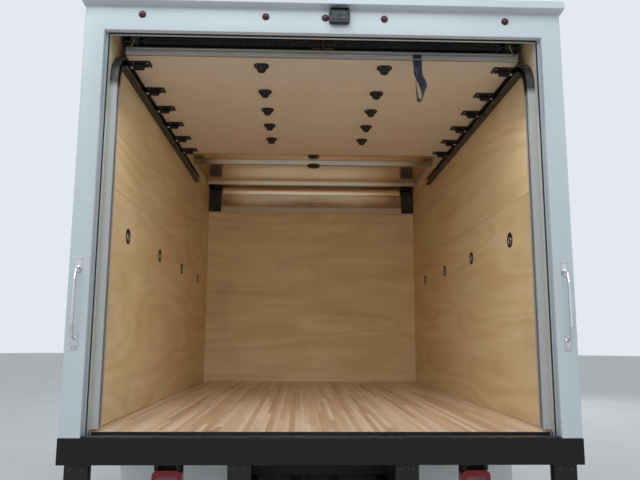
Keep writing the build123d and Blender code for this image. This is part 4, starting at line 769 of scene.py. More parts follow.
def add_turned(shape, placed, profile, sides=28):
    """Turns (radius, height) pairs about a place's Z; they close at radius 0, or where they began."""
    loops = {}
    for radius, height in profile:
        angles = circle(sides if radius else 1)
        if (radius, height) not in loops:
            points = [(radius * math.cos(a), radius * math.sin(a), height) for a in angles]
            loops[radius, height] = [shape.verts.new(placed @ Vector(point)) for point in points]
    for low, high in zip(profile, profile[1:]):
        low, high = loops[low], loops[high]
        for n in range(sides):
            m = (n + 1) % sides
            corners = (low[n % len(low)], low[m % len(low)], high[m % len(high)], high[n % len(high)])
            shape.faces.new(list(dict.fromkeys(corners)))


# %% Soften the solids that face the camera
# A copy of the solid has its loose triangles merged and joined to whole faces again. A small bevel then
# catches the light along its edges, as it does on pressed and folded metal.
for node, material, width in (
    ("rear_frame", body_paint, 0.003),
    ("sill_beam", sill_black, 0.0025),
    ("rear_bumper", sill_black, 0.003),
):
    copy = bmesh.new()
    copy.from_mesh(nodes[node].data)
    bmesh.ops.remove_doubles(copy, verts=copy.verts, dist=0.00002)
    bmesh.ops.dissolve_limit(copy, angle_limit=math.radians(1), verts=copy.verts, edges=copy.edges)
    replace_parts(make(f"{node}_dressed", copy, material, smooth=40, edge=(width, 2)), node)
print("three solids have softened edges")

# %% [markdown]
# ## Floor and light
# The truck stands on a plain pale floor, under the even light of a cloudy day: a pale world all
# round, and one wide soft lamp behind the camera, which reaches into the hold as the open sky does.
# Two weak lamps at the hold's mouth stand for the light that the ground throws in.
# What the camera sees of the world is a plain pale tone, and glass and metal see the same.

# %% Floor and world
ground_material, tree, shader = new_finish("ground", Roughness=0.85)
hue = blend(tree, cloudy(tree, 0.7, 6.0), tone(206, 205, 202), tone(222, 221, 218))
feed(shader.inputs["Base Color"], hue)
ground_shape = bmesh.new()
bmesh.ops.create_circle(ground_shape, cap_ends=True, segments=96, radius=60)
ground = put("ground", ground_shape)
ground.data.materials.append(ground_material)

scene.world = bpy.data.worlds.new("cloudy_sky")
scene.world.use_nodes = True
tree = scene.world.node_tree
background = tree.nodes["Background"].inputs
rays = add_node(tree, "ShaderNodeLightPath").outputs
direct = Value(rays["Is Camera Ray"])
for ray in ("Is Glossy Ray", "Is Transmission Ray"):
    direct = direct.step("MAXIMUM", direct, Value(rays[ray]))
feed(background["Color"], blend(tree, direct, (0.84, 0.92, 1.0, 1.0), tone(228, 233, 240)))
feed(background["Strength"], direct.remap(0.0, 1.0, 0.62, 1.0))


# %% Lamps
def soft_lamp(name, place, target, size, power, colour=(1.0, 1.0, 1.0), hidden=False):
    """A wide rectangular lamp that faces a point; a hidden one doesn't show in gloss either."""
    lamp = bpy.data.lights.new(name, "AREA")
    lamp.shape = "RECTANGLE"
    lamp.size, lamp.size_y = size
    lamp.energy = power
    lamp.color = colour
    holder = bpy.data.objects.new(name, lamp)
    scene.collection.objects.link(holder)
    holder.location = place
    holder.rotation_euler = (Vector(target) - Vector(place)).to_track_quat("-Z", "Y").to_euler()
    if hidden:
        holder.visible_camera = holder.visible_glossy = False
    return lamp


soft_lamp("open_sky_behind", (-0.8, -7.6, 6.6), (0, -2.6, 1.2), (6.5, 5.0), 285, (0.88, 0.94, 0.98))
hold_fill = soft_lamp(
    "hold_fill", (0, REAR + 0.14, 1.95), (0, 0.6, 1.75), (1.9, 1.7), 2.1, (1.0, 0.8, 0.54), hidden=True
)
hold_fill.spread = math.radians(95)
soft_lamp(
    "threshold_fill", (0, REAR + 0.10, 2.55), (0, REAR + 0.75, 0.9), (1.9, 0.25), 4.2, (1.0, 0.94, 0.86), hidden=True
)
soft_lamp("sky_over_nose", (4.0, 9.0, 6.0), (0, 2.0, 1.0), (6.0, 5.0), 200)

# %% [markdown]
# ## Pieces that repeat
# Rivets, screws, tread blocks and wheel nuts repeat by the hundred, so Geometry Nodes sets them out.
# Each tree is built here once with named inputs. The first puts a domed head at even steps along
# every line of a plain sketch; the second turns one shape round an axle; the third gives a line a
# round thickness. All end in real geometry with its material, because instances would be lost.

# %% Helpers for geometry trees
NUMBER, WHOLE, THING = "NodeSocketFloat", "NodeSocketInt", "NodeSocketObject"


def new_geometry_tree(name, takes):
    """An empty geometry tree with named inputs; gives the tree and its inputs."""
    tree = bpy.data.node_groups.new(name, "GeometryNodeTree")
    tree.interface.new_socket(name="Geometry", in_out="OUTPUT", socket_type="NodeSocketGeometry")
    kinds = {"Geometry": "NodeSocketGeometry", **takes, "Material": "NodeSocketMaterial"}
    for label, kind in kinds.items():
        tree.interface.new_socket(name=label, in_out="INPUT", socket_type=kind)
    inputs = tree.nodes.new("NodeGroupInput").outputs
    return tree, {label: Value(inputs[label]) for label in kinds}


def coloured(tree, shape, takes):
    """Ends a geometry tree: its result gets the material and goes out."""
    result = value_of(tree, "GeometryNodeSetMaterial", {"Geometry": shape, "Material": takes["Material"]})
    feed(tree.nodes.new("NodeGroupOutput").inputs[0], result)


def grown(piece, tree, material, body="chassis", slot=None, smooth=None, **values):
    """Runs a geometry tree on a piece, keeps the result as a plain mesh, and finishes it."""
    modifier = piece.modifiers.new(tree.name, "NODES")
    modifier.node_group = tree
    values["Material"] = material
    for item in tree.interface.items_tree:
        if item.in_out == "INPUT" and item.name in values:
            modifier[item.identifier] = values[item.name]
    mesh = flattened(piece)
    name, old = piece.name, piece.data
    bpy.data.objects.remove(piece)
    bpy.data.meshes.remove(old)
    return make(name, mesh, material, body=body, slot=slot, smooth=smooth)


def flattened(piece):
    """A plain mesh of a piece with its modifiers applied."""
    bpy.context.view_layer.update()
    return bpy.data.meshes.new_from_object(piece.evaluated_get(bpy.context.evaluated_depsgraph_get()))


# %% Geometry tree: heads along lines
heads_tree, takes = new_geometry_tree("heads_along_lines", {"Pitch": NUMBER, "Radius": NUMBER, "Height": NUMBER})
line = value_of(heads_tree, "GeometryNodeMeshToCurve", {"Mesh": takes["Geometry"]})
steps = {"Curve": line, "Length": takes["Pitch"]}
steps = value_of(heads_tree, "GeometryNodeResampleCurve", steps, mode="LENGTH")
facing = value_of(
    heads_tree, "GeometryNodeInputNamedAttribute", {"Name": "facing"}, "Attribute", data_type="FLOAT_VECTOR"
)
turn = value_of(heads_tree, "FunctionNodeAlignRotationToVector", {"Vector": facing}, axis="Z")
dome = value_of(heads_tree, "GeometryNodeMeshUVSphere", {"Segments": 8, "Rings": 4, "Radius": 1.0}, "Mesh")
size = {"X": takes["Radius"], "Y": takes["Radius"], "Z": takes["Height"]}
size = value_of(heads_tree, "ShaderNodeCombineXYZ", size)
heads = {"Points": steps, "Instance": dome, "Rotation": turn, "Scale": size}
heads = value_of(heads_tree, "GeometryNodeInstanceOnPoints", heads)
coloured(heads_tree, value_of(heads_tree, "GeometryNodeRealizeInstances", {"Geometry": heads}), takes)

# %% Geometry tree: shapes round an axle
ring_tree, takes = new_geometry_tree("shapes_round_axle", {"Shape": THING, "Count": WHOLE})
points = value_of(ring_tree, "GeometryNodePoints", {"Count": takes["Count"]})
angle = value_of(ring_tree, "GeometryNodeInputIndex") / takes["Count"] * (2 * math.pi)
turn = value_of(ring_tree, "ShaderNodeCombineXYZ", {"X": angle})
shape = value_of(ring_tree, "GeometryNodeObjectInfo", {"Object": takes["Shape"]}, "Geometry")
turned = {"Points": points, "Instance": shape, "Rotation": turn}
turned = value_of(ring_tree, "GeometryNodeInstanceOnPoints", turned)
turned = value_of(ring_tree, "GeometryNodeRealizeInstances", {"Geometry": turned})
joined = add_node(ring_tree, "GeometryNodeJoinGeometry", {"Geometry": turned})
feed(joined.inputs[0], takes["Geometry"])
coloured(ring_tree, Value(joined.outputs[0]), takes)

# %% Geometry tree: tube along lines
tube_tree, takes = new_geometry_tree("tube_along_lines", {"Radius": NUMBER, "Sides": WHOLE})
line = value_of(tube_tree, "GeometryNodeMeshToCurve", {"Mesh": takes["Geometry"]})
rim = {"Resolution": takes["Sides"], "Radius": takes["Radius"]}
rim = value_of(tube_tree, "GeometryNodeCurvePrimitiveCircle", rim)
tube = {"Curve": line, "Profile Curve": rim, "Fill Caps": True}
coloured(tube_tree, value_of(tube_tree, "GeometryNodeCurveToMesh", tube), takes)


# %% Helpers that draw lines for the trees
def sketch(name, lines):
    """A mesh of bare edges; each line is its points, and the way that heads on it face."""
    points, edges, ways = [], [], []
    for line_points, way in lines:
        start = len(points)
        points += [tuple(point) for point in line_points]
        ways += way * len(line_points)
        edges += [(n, n + 1) for n in range(start, len(points) - 1)]
    mesh = bpy.data.meshes.new(name)
    mesh.from_pydata(points, edges, [])
    mesh.attributes.new("facing", "FLOAT_VECTOR", "POINT").data.foreach_set("vector", ways)
    return put(name, mesh)


def heads_along(name, lines, material, pitch, radius, height, **finishing):
    """Domed heads along lines of (start, end, way that they face)."""
    drawing = sketch(name, [((start, end), way) for start, end, way in lines])
    return grown(drawing, heads_tree, material, Pitch=pitch, Radius=radius, Height=height, **finishing)


def tubes(name, lines, radius, material, body="chassis", sides=8, smooth=40):
    """Round bars along lines of points."""
    drawing = sketch(name, [(line, UP) for line in lines])
    return grown(drawing, tube_tree, material, body, smooth=smooth, Radius=radius, Sides=sides)


# %% [markdown]
# ## Tyres
# A tyre is a shape of revolution with a pattern that repeats round it. Its cross-section, from bead
# to bead, is turned about the axle. One pitch of the tread, five rows of blocks, is modelled once, and
# Geometry Nodes turns it seventy-two times round the tyre. The pattern is a plain ribbed one.

# %% Tyre carcass
TYRE_RADIUS = 0.372
TYRE_STEPS = 96
TYRE_SECTION = (
    (-0.088, 0.2055), (-0.094, 0.212), (-0.098, 0.222), (-0.1075, 0.250), (-0.1115, 0.277), (-0.1118, 0.288),
    (-0.1105, 0.305), (-0.1065, 0.325), (-0.1045, 0.331), (-0.1045, 0.335), (-0.101, 0.345), (-0.094, 0.3575),
    (-0.086, 0.3615), (-0.045, 0.3635),
)


def add_tyre(shape, middle):
    """Turns the tyre's section about the X axis, its middle at a place along it."""
    section = [(r, middle + x) for x, r in TYRE_SECTION] + [(r, middle - x) for x, r in reversed(TYRE_SECTION)]
    add_turned(shape, seated((0, 0, 0), ACROSS, AHEAD), section, TYRE_STEPS)


# %% One pitch of tread
TREAD_PITCHES = 72
TREAD_EDGE = 0.093
TREAD_ROWS = (
    (-TREAD_EDGE, -0.062, 0.0085), (-0.055, -0.023, -0.006), (-0.0155, 0.0155, 0.004), (0.023, 0.055, -0.006),
    (0.062, TREAD_EDGE, 0.0085),
)
TREAD_GAP = 0.0016
TREAD_FOOT = 0.3585
CROWN_DROP = 0.0065


def tread_pitch(middles):
    """One block for each rib of the tread, skewed like a cut rib, at the top of the tyre."""
    shape = bmesh.new()
    half = math.pi * TYRE_RADIUS / TREAD_PITCHES - TREAD_GAP
    for middle in middles:
        for low, high, skew in TREAD_ROWS:
            corners = []
            for x, lean in ((low, -skew / 2), (high, skew / 2)):
                crown = TYRE_RADIUS - CROWN_DROP * (abs(x) / TREAD_EDGE) ** 2
                for y in (-half, half):
                    corners += [shape.verts.new((middle + x, y + lean, z)) for z in (TREAD_FOOT, crown)]
            a, b, c, d, e, f, g, h = corners
            for face in ((b, d, h, f), (a, b, f, e), (c, g, h, d), (a, c, d, b), (e, f, h, g)):
                shape.faces.new(face)
    return shape


# %% Dress the four wheels with tyres
WHEELS = {
    "front_left": (-1, FRONT_AXLE, (0.865,)),
    "front_right": (1, FRONT_AXLE, (0.865,)),
    "rear_left": (-1, REAR_AXLE, (0.733, 0.997)),
    "rear_right": (1, REAR_AXLE, (0.733, 0.997)),
}
for name, (side, axle, middles) in WHEELS.items():
    shell = bmesh.new()
    for middle in middles:
        add_tyre(shell, side * middle)
    block = put("tread_pitch", tread_pitch([side * middle for middle in middles]))
    tyre = put(f"treaded_tyre_{name}", shell)
    tyre = grown(tyre, ring_tree, tyre_rubber, f"wheel_{name}", Shape=block, Count=TREAD_PITCHES)
    bpy.data.objects.remove(block)
    tyre.data.transform(Matrix.Translation((0, axle, AXLE_UP)))
    cleaned = bmesh.new()
    cleaned.from_mesh(tyre.data)
    bmesh.ops.recalc_face_normals(cleaned, faces=cleaned.faces)
    cleaned.to_mesh(tyre.data)
    cleaned.free()
    tyre.data.shade_smooth()
    tyre.data.set_sharp_from_angle(angle=math.radians(38))
    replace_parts(tyre, f"tyre_{name}")
    print(tyre.name, len(tyre.data.polygons), "faces")

# %% [markdown]
# ## Wheel nuts, hub caps and valves
# Each wheel disc is held by eight nuts on studs. One nut is modelled, and the ring tree turns it round
# the axle. A domed cap closes each hub, and a valve stands in one hand hole.

# %% Wheel nuts, hub caps and valves
BOLT_CIRCLE = 0.0805
NUT_PARTS = ((0.001, 0.0125, 0.003, 14, 1.0), (0.009, 0.0115, 0.016, 6, 0.9), (0.020, 0.006, 0.012, 8, 1.0))
CAP_PROFILE = (
    (0.047, 0), (0.047, 0.012), (0.0455, 0.0135), (0.040, 0.0135), (0.038, 0.024), (0.031, 0.030),
    (0.018, 0.033), (0, 0.0335),
)
for name, (side, axle, middles) in WHEELS.items():
    body = f"wheel_{name}"
    face, hub, stem = (0.919, 0.9185, 0.905) if len(middles) == 1 else (0.913, 0.9965, 0.928)
    nut, valve, cap = drawings(3)
    for out, radius, length, sides, taper in NUT_PARTS:
        add_bar(nut, (side * (face + out), 0, BOLT_CIRCLE), (side, 0, 0), radius, length, sides, taper)
    add_bar(valve, (side * stem, 0, 0.150), (side, 0, 0.25), 0.0045, 0.052, 10)
    add_bar(valve, (side * (stem + 0.027), 0, 0.1566), (side, 0, 0.25), 0.0058, 0.012, 10)
    add_turned(cap, seated((side * hub, 0, 0), (side, 0, 0), AHEAD), CAP_PROFILE, 32)
    bmesh.ops.recalc_face_normals(cap, faces=cap.faces)
    nut = put("nut", nut)
    ring = put(f"wheel_nuts_{name}", bmesh.new())
    wheel_pieces = (
        grown(ring, ring_tree, dull_steel, body, "handle_steel", Shape=nut, Count=8),
        make(f"hub_cap_{name}", cap, polished_steel, body=body, slot="handle_steel", smooth=40),
        make(f"valve_{name}", valve, trim_black, body=body, slot="tyre"),
    )
    bpy.data.objects.remove(nut)
    for piece in wheel_pieces:
        piece.data.transform(Matrix.Translation((0, axle, AXLE_UP)))
print("nuts, caps and valves on", len(WHEELS), "wheels")

# %% [markdown]
# ## The open door
# The door lies under the roof. The camera looks up at the faces of its sections, so their hinges get
# screws and raised centres, the roller brackets get ribs and a bright collar, and two thin cables
# run from the drums to the bottom rail.

# %% Hinge centres and screws
DOOR = DECK + 1.95
JOINTS = (0.285, 0.655, 0.965, 1.275, 1.585, 1.890)
DOOR_SCREW = (0.0045, 0.003, 10, 0.7)
centres, screws = drawings(2)
for row, x in product(JOINTS[:-1], (-0.341, 0.341)):
    y = REAR + row
    boss = add_bar(centres, (x, y, DOOR - 0.0225), DOWN, 0.034, 0.030, 8, 0.6)
    bmesh.ops.rotate(centres, verts=boss, cent=(x, y, 0), matrix=Matrix.Rotation(math.pi / 8, 3, "Z"))
    add_screws(screws, (x, y, DOOR - 0.010), product((-0.024, 0.024), (-0.021, 0.021), (0,)), DOWN, *DOOR_SCREW)
make("hinge_centres", centres, hinge_black, edge=(0.002, 2))
make("hinge_screws", screws, dull_steel)
print("centre hinges dressed at rows", JOINTS[:-1])

# %% Roller brackets
ribs, collars = drawings(2)
for row, side in product(JOINTS, BOTH):
    y = REAR + row
    for dy in (-0.011, -0.0037, 0.0037, 0.011):
        add_brick(ribs, (side * 1.013, y + dy, DOOR - 0.0225), (0.056, 0.0028, 0.027))
    for x, radius, length in ((1.046, 0.0105, 0.014), (1.055, 0.008, 0.008)):
        add_bar(collars, (side * x, y, DOOR - 0.0223), ACROSS, radius, length, 20)
    corners = product((side * -0.036, side * 0.040), (-0.024, 0.024), (0,))
    add_screws(collars, (side * 0.998, y, DOOR - 0.010), corners, DOWN, *DOOR_SCREW)
make("bracket_ribs", ribs, hinge_black, edge=(0.0006, 1))
make("bracket_collars", collars, polished_steel, smooth=34)

# %% Joints between the sections
tongues = bmesh.new()
for row in JOINTS[1:-1]:
    add_brick(tongues, (0, REAR + row, DOOR + 0.0091), (2.115, 0.0028, 0.0158))
make("section_tongues", tongues, door_cream)

# %% Lift cables and the springs' coils
cables, anchors = [], bmesh.new()
for side in BOTH:
    foot = Vector((side * 1.036, REAR + 0.182, DOOR + 0.030))
    cables.append(((side * 1.024, REAR + 0.2125, DECK + 2.055), foot))
    for behind, radius, length, sides in ((0.0065, 0.0085, 0.006, 16), (0.011, 0.005, 0.008, 6)):
        add_bar(anchors, foot - Vector((0, behind, 0)), BACK, radius, length, sides)
tubes("lift_cables", cables, 0.0017, polished_steel, smooth=None)
make("cable_anchors", anchors, dull_steel)
COIL_START, COIL_LENGTH, COIL_TURNS, COIL_RADIUS = 0.066, 0.89595, 96, 0.0275
coils = []
for side in BOTH:
    line = []
    for n, angle in enumerate(circle(12) * COIL_TURNS):
        x = side * (COIL_START + COIL_LENGTH * n / (12 * COIL_TURNS))
        y, z = REAR + 0.25 + COIL_RADIUS * math.cos(angle), DECK + 2.057 + COIL_RADIUS * math.sin(angle)
        line.append((x, y, z))
    coils.append(line)
coils = tubes("spring_coils", coils, 0.0035, hinge_black, sides=5)
print("coils", len(coils.data.polygons), "faces")

# %% [markdown]
# ## The pull strap
# The strap is flat webbing, doubled over and stitched to the bottom rail. It is laid out as one long
# band that goes down, turns over at the bottom and comes up behind, twisting a little as it hangs.
# Its own UV map, in metres, carries the weave.

# %% Webbing strap
def band(name, stations, width, columns=6):
    """A band of cloth through (centre, turn about Z in degrees), with its weave's UV map; gives its length too."""
    shape = bmesh.new()
    weave = shape.loops.layers.uv.new("weave")
    rows, along, last = [], 0.0, None
    for centre, turn in stations:
        centre, turn = Vector(centre), math.radians(turn)
        across = Vector((math.cos(turn), math.sin(turn), 0))
        along += (centre - last).length if last else 0.0
        last = centre
        row = [shape.verts.new(centre + across * width * (c / columns - 0.5)) for c in range(columns + 1)]
        rows.append((row, along))
    for (low, v0), (high, v1) in zip(rows, rows[1:]):
        for c in range(columns):
            face = shape.faces.new((low[c], low[c + 1], high[c + 1], high[c]))
            u0, u1 = width * c / columns, width * (c + 1) / columns
            for loop, uv in zip(face.loops, ((u0, v0), (u1, v0), (u1, v1), (u0, v1))):
                loop[weave].uv = uv
    return put(name, shape), along


def eased(value):
    """A smooth step from 0 to 1."""
    value = min(1.0, max(0.0, value))
    return value * value * (3 - 2 * value)


strap_low, strap_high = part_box("pull_strap")
back, top, foot = strap_high.y, strap_high.z, strap_low.z
drop = top - foot - 0.016
BEHIND, FOLD, STEPS = 0.0292, 0.0125, 32
stations = []
for t in (n / STEPS for n in range(STEPS + 1)):
    turned, late = eased((t - 0.16) / 0.40), eased((t - 0.7) / 0.3)
    centre = (0.505 - 0.014 * turned + 0.0065 * late, back - 0.0052 - 0.024 * turned, top - 0.002 - drop * t)
    stations.append((centre, 82 * turned + 8 * late))
for angle in (math.pi * n / 12 for n in range(1, 12)):
    centre = (0.510 - FOLD * math.cos(angle), back - BEHIND, foot + 0.014 - FOLD * math.sin(angle))
    stations.append((centre, 90))
for t in (n / STEPS for n in range(STEPS + 1)):
    x = 0.5225 + 0.0115 * math.sin(math.pi * min(1.0, t / 0.56)) - 0.0155 * eased((t - 0.2) / 0.5)
    centre = (x, back - BEHIND + 0.0276 * eased(t / 0.6), foot + 0.014 + drop * t)
    stations.append((centre, 90 + 90 * eased(t / 0.58)))
strap, strap_length = band("hanging_strap", stations, 0.046)
finish(strap, webbing, smooth=40)
thick = strap.modifiers.new("webbing thickness", "SOLIDIFY")
thick.thickness = 0.0013
thick.offset = 0
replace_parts(strap, "pull_strap")
stitches, clamp = drawings(2)
for row, n in product(range(3), range(9)):
    add_brick(stitches, (0.485 + 0.005 * n, back - 0.0062, top - 0.0114 - 0.006 * row), (0.0032, 0.0008, 0.0012))
stitching = make("strap_stitches", stitches, seat_cloth, slot="strap_webbing")
add_brick(clamp, (0.505, back - 0.0076, top - 0.031), (0.052, 0.0024, 0.006))
add_screws(clamp, (0.505, back - 0.0095, top - 0.031), ((-0.017, 0, 0), (0.017, 0, 0)), BACK, 0.004, 0.003, 12, 0.7)
clamp = make("strap_clamp", clamp, dull_steel, edge=(0.0006, 1))
print("strap length", round(strap_length, 3))

# %% [markdown]
# ## Seats
# A foam cushion is a block whose faces swell between its seams. Each form starts as a rounded block
# in the space of the engineering model's seat, is given an even mesh, and is blown up a little by the
# cloth simulation. How far a point may move is capped, so that the seat keeps its size.

# %% Padded forms
def foam_block(name, outline, half, corner):
    """A rounded block through an outline of Y, behind the cab's back, and Z, centred on X = 0."""
    shape = bmesh.new()
    add_prism(shape, *([(x, CAB + y, z) for y, z in outline] for x in (-half, half)))
    bmesh.ops.recalc_face_normals(shape, faces=shape.faces)
    bmesh.ops.bevel(shape, geom=list(shape.edges), offset=corner, segments=3, affect="EDGES", profile=0.6)
    return put(name, shape)


def swell(piece, cap, voxel=0.011):
    """Gives a form an even mesh and swells it like foam."""
    even = piece.modifiers.new("even mesh", "REMESH")
    even.mode = "VOXEL"
    even.voxel_size = voxel
    mesh = flattened(piece)
    piece.modifiers.clear()
    piece.data = mesh
    cloth = piece.modifiers.new("cloth", "CLOTH")
    cloth.settings.use_pressure = True
    cloth.settings.uniform_pressure_force = 4
    cloth.settings.effector_weights.gravity = 0
    cloth.point_cache.frame_start, cloth.point_cache.frame_end = 1, 20
    for step in range(1, 21):
        scene.frame_set(step)
    result = piece.evaluated_get(bpy.context.evaluated_depsgraph_get()).to_mesh()
    moves = [new.co - old.co for new, old in zip(result.vertices, mesh.vertices)]
    piece.modifiers.clear()
    scene.frame_set(1)
    for vertex, move in zip(mesh.vertices, moves):
        vertex.co += move * min(1.0, cap / max(move.length, 1e-6))


def sew(piece, axis, places, depth, spread=0.006):
    """Presses seams into a swollen form, at places along one axis, where its cover is sewn down."""
    for vertex in piece.data.vertices:
        pull = sum(math.exp(-(((vertex.co[axis] - place) / spread) ** 2)) for place in places)
        vertex.co -= vertex.normal * depth * pull


CUSHION = ((0.300, 0.889), (0.800, 0.889), (0.800, 0.985), (0.760, 1.001), (0.300, 0.990))
REST = ((0.318, 1.012), (0.345, 1.090), (0.242, 1.578), (0.162, 1.578), (0.182, 1.090), (0.212, 1.012))
HEAD = ((0.226, 1.602), (0.222, 1.758), (0.152, 1.758), (0.160, 1.602))
FORMS = {
    "cushion": (CUSHION, 0.236, 0.022, 0.012, (0, (-0.150, 0.150), 0.007), (1, (CAB + 0.47, CAB + 0.62), 0.004)),
    "back": (REST, 0.231, 0.022, 0.012, (0, (-0.145, 0.145), 0.007), (2, (1.20, 1.34, 1.48), 0.004)),
    "head_rest": (HEAD, 0.122, 0.024, 0.010),
}

# %% Swell and sew the seats
SEAT_X = 0.400
for form, (outline, half, corner, cap, *seams) in FORMS.items():
    first = foam_block(f"{form}_form", outline, half, corner)
    swell(first, cap)
    for seam in seams:
        sew(first, *seam)
    for name, side in SIDES.items():
        pad = put(f"seat_{form}_{name}", first.data.copy())
        pad.data.transform(Matrix.Translation((side * SEAT_X, 0, 0)))
        finish(pad, seat_cloth, smooth=40)
        smooth = pad.modifiers.new("smooth cover", "SUBSURF")
        smooth.levels = smooth.render_levels = 1
        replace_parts(pad, "seats")
    print(form, len(first.data.polygons), "faces before smoothing")
    bpy.data.objects.remove(first)

# %% Seat bases, head rest posts and belts
base, posts, belts = drawings(3)
for side in BOTH:
    x = side * SEAT_X
    add_box(base, (x - 0.208, CAB + 0.332, 0.7065), (x + 0.208, CAB + 0.758, 0.872))
    add_box(base, (x - 0.225, CAB + 0.310, 0.872), (x + 0.225, CAB + 0.780, 0.886))
    add_bar(base, (x + side * 0.238, CAB + 0.285, 1.035), (side, 0, 0), 0.035, 0.022, 20)
    for dx in (-0.055, 0.055):
        add_bar(posts, (x + dx, CAB + 0.196, 1.595), UP, 0.006, 0.05, 12)
    add_box(belts, (x - side * 0.262, CAB + 0.330, 0.86), (x - side * 0.252, CAB + 0.365, 1.065))
    add_box(belts, (x - side * 0.268, CAB + 0.322, 1.06), (x - side * 0.246, CAB + 0.373, 1.115))
    add_box(belts, (x - side * 0.262, CAB + 0.330, 0.80), (x - side * 0.205, CAB + 0.365, 0.862))
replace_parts(make("seat_bases", base, trim_black, edge=(0.006, 3)), "seats")
make("head_rest_posts", posts, polished_steel, slot="handle_steel", smooth=40)
make("belt_buckles", belts, trim_black, edge=(0.004, 2))

# %% [markdown]
# ## The doorway and the hold
# Seals line the posts. The threshold's tread plate has two rows of raised ovals. The lamps, the camera
# and the grab handles get the rims, lenses and screws that show beside the doorway.

# %% Seals, threshold ovals and screws
seals, ovals, screws = drawings(3)
for side in BOTH:
    add_box(seals, (side * 1.1045 - 0.0022, REAR + 0.032, 0.906), (side * 1.1045 + 0.0022, REAR + 0.0415, 2.900))
    for foot in (1.304, 1.668):
        places = product((-0.008, 0.008), (0,), (0.010, 0.060))
        add_screws(screws, (side * 1.171, REAR - 0.0065, foot), places, BACK, 0.0042, 0.0036, 12, 0.65)
add_box(seals, (-1.100, REAR + 0.032, 2.8965), (1.100, REAR + 0.0415, 2.9015))
for (row, y), n in product(enumerate((0.016, 0.046)), range(72)):
    turn = Matrix.Rotation(math.radians(45 if (n + row) % 2 else -45), 4, "Z")
    placed = Matrix.Translation((-1.065 + 0.030 * (n + 0.5 * row), REAR + y, 0.905)) @ turn
    add_dome(ovals, placed, (0.0125, 0.004, 0.0016), 10, 6)
add_box(ovals, (-1.0985, REAR + 0.0035, 0.9049), (1.0985, REAR + 0.0600, 0.9055))
make("jamb_seals", seals, seal_rubber)
make("threshold_tread", ovals, worn_tread, smooth=40)
make("handle_screws", screws, dull_steel)
print("threshold ovals and handle screws made")

# %% Marker lamps and tail lamps
MARKERS_UP = 2.986
TAIL_LAMP_X = 0.748
GROMMET = ((0.0132, 0), (0.0132, 0.004), (0.0175, 0.004), (0.0185, 0.003), (0.0185, 0), (0.0132, 0))
grommets, lenses, clear, rims = drawings(4)
for x in (-0.932, -0.305, 0, 0.305, 0.932):
    add_turned(grommets, seated((x, REAR - 0.0001, MARKERS_UP), BACK), GROMMET)
    add_dome(lenses, Matrix.Translation((x, REAR - 0.0070, MARKERS_UP)), (0.0122, 0.005, 0.0122), 20, 8)
make("marker_grommets", grommets, seal_rubber)
make("marker_lenses", lenses, marker_red, smooth=40)
for side in BOTH:
    x, y = side * TAIL_LAMP_X, REAR + 0.1499
    add_plate(clear, (x, y, 0.655), (0.098, 0.094), 0.014, 0.004)
    for z in (0.716, 0.560):
        add_plate(rims, (x, y, z), (0.118, 0.008), 0.003, 0.0025)
    add_screws(rims, (x, REAR + 0.1485, 0.636), ((-0.052, 0, 0), (0.052, 0, 0)), BACK, 0.005, 0.004, 12, 0.7)
make("reversing_lenses", clear, lamp_clear, edge=(0.001, 2))
make("tail_lamp_screws", rims, lamp_red)

# %% Reversing camera
CAMERA_X, CAMERA_UP, HALF_SHADE = 0.072, 2.989, 0.046
shade, lens = drawings(2)
add_plate(shade, (CAMERA_X, REAR - 0.0340, 2.990), (0.086, 0.056), 0.012, 0.003)
add_box(shade, (CAMERA_X - HALF_SHADE, REAR - 0.050, 3.018), (CAMERA_X + HALF_SHADE, REAR - 0.033, 3.0215))
for x in (CAMERA_X - HALF_SHADE, CAMERA_X + HALF_SHADE):
    add_box(shade, (x - 0.002, REAR - 0.044, 2.992), (x + 0.002, REAR - 0.033, 3.021))
for angle in circle(8):
    place = (CAMERA_X + 0.030 * math.cos(angle), REAR - 0.0375, CAMERA_UP + 0.0175 * math.sin(angle))
    add_bar(lens, place, BACK, 0.003, 0.002, 10)
add_dome(lens, Matrix.Translation((CAMERA_X, REAR - 0.0345, CAMERA_UP)), (0.0115, 0.0115, 0.0115))
make("camera_shade", shade, camera_black, edge=(0.001, 2))
make("camera_lens", lens, lamp_clear, smooth=40)

# %% Dome lamp in the hold
lamp, dome = drawings(2)
add_bar(lamp, (0, REAR + 2.710, 2.9505), DOWN, 0.062, 0.019, 36, 0.86)
add_dome(dome, Matrix.Translation((0, REAR + 2.710, 2.942)), (0.042, 0.042, 0.012), 28, 10)
make("dome_lamp_base", lamp, trim_black, edge=(0.002, 2))
make("dome_lamp_glass", dome, lamp_clear, smooth=40)

# %% Screws in the plywood and rivets in the front wall and the bows
LINING_FACE, WALL_FACE, BOWS_UNDER = 0.6199, 0.6299, 2.996
lines = []
for side, z in product(BOTH, (FLOOR + 0.035, FLOOR + 1.190, FLOOR + 1.250, 2.900)):
    x = side * (HOLD_HALF - 0.0001)
    lines.append(((x, REAR + 0.14, z), (x, 0.58, z), (-side, 0, 0)))
for z in (FLOOR + 0.035, FLOOR + 0.61, FLOOR + 1.19, 2.670):
    lines.append(((-1.06, LINING_FACE, z), (1.06, LINING_FACE, z), BACK))
heads_along("lining_screws", lines, dull_steel, 0.305, 0.0042, 0.0009)
lines = [((-0.95, WALL_FACE, z), (0.95, WALL_FACE, z), BACK) for z in (2.775, 2.880)]
for bow, dy in product((0.370, 1.110, 1.910, 2.710, 3.510), (-0.037, 0.037)):
    y = REAR + bow + dy
    lines.append(((-1.09, y, BOWS_UNDER), (1.09, y, BOWS_UNDER), DOWN))
heads_along("inner_rivets", lines, dull_steel, 0.075, 0.0048, 0.002, slot="mill_aluminium", smooth=40)
print("screws and rivets set out")

# %% [markdown]
# ## The body outside
# Solid rivets hold the side sheets to the rails, the posts and the front corners. Amber lamps mark the
# front corners and the sides, as such bodies carry them.

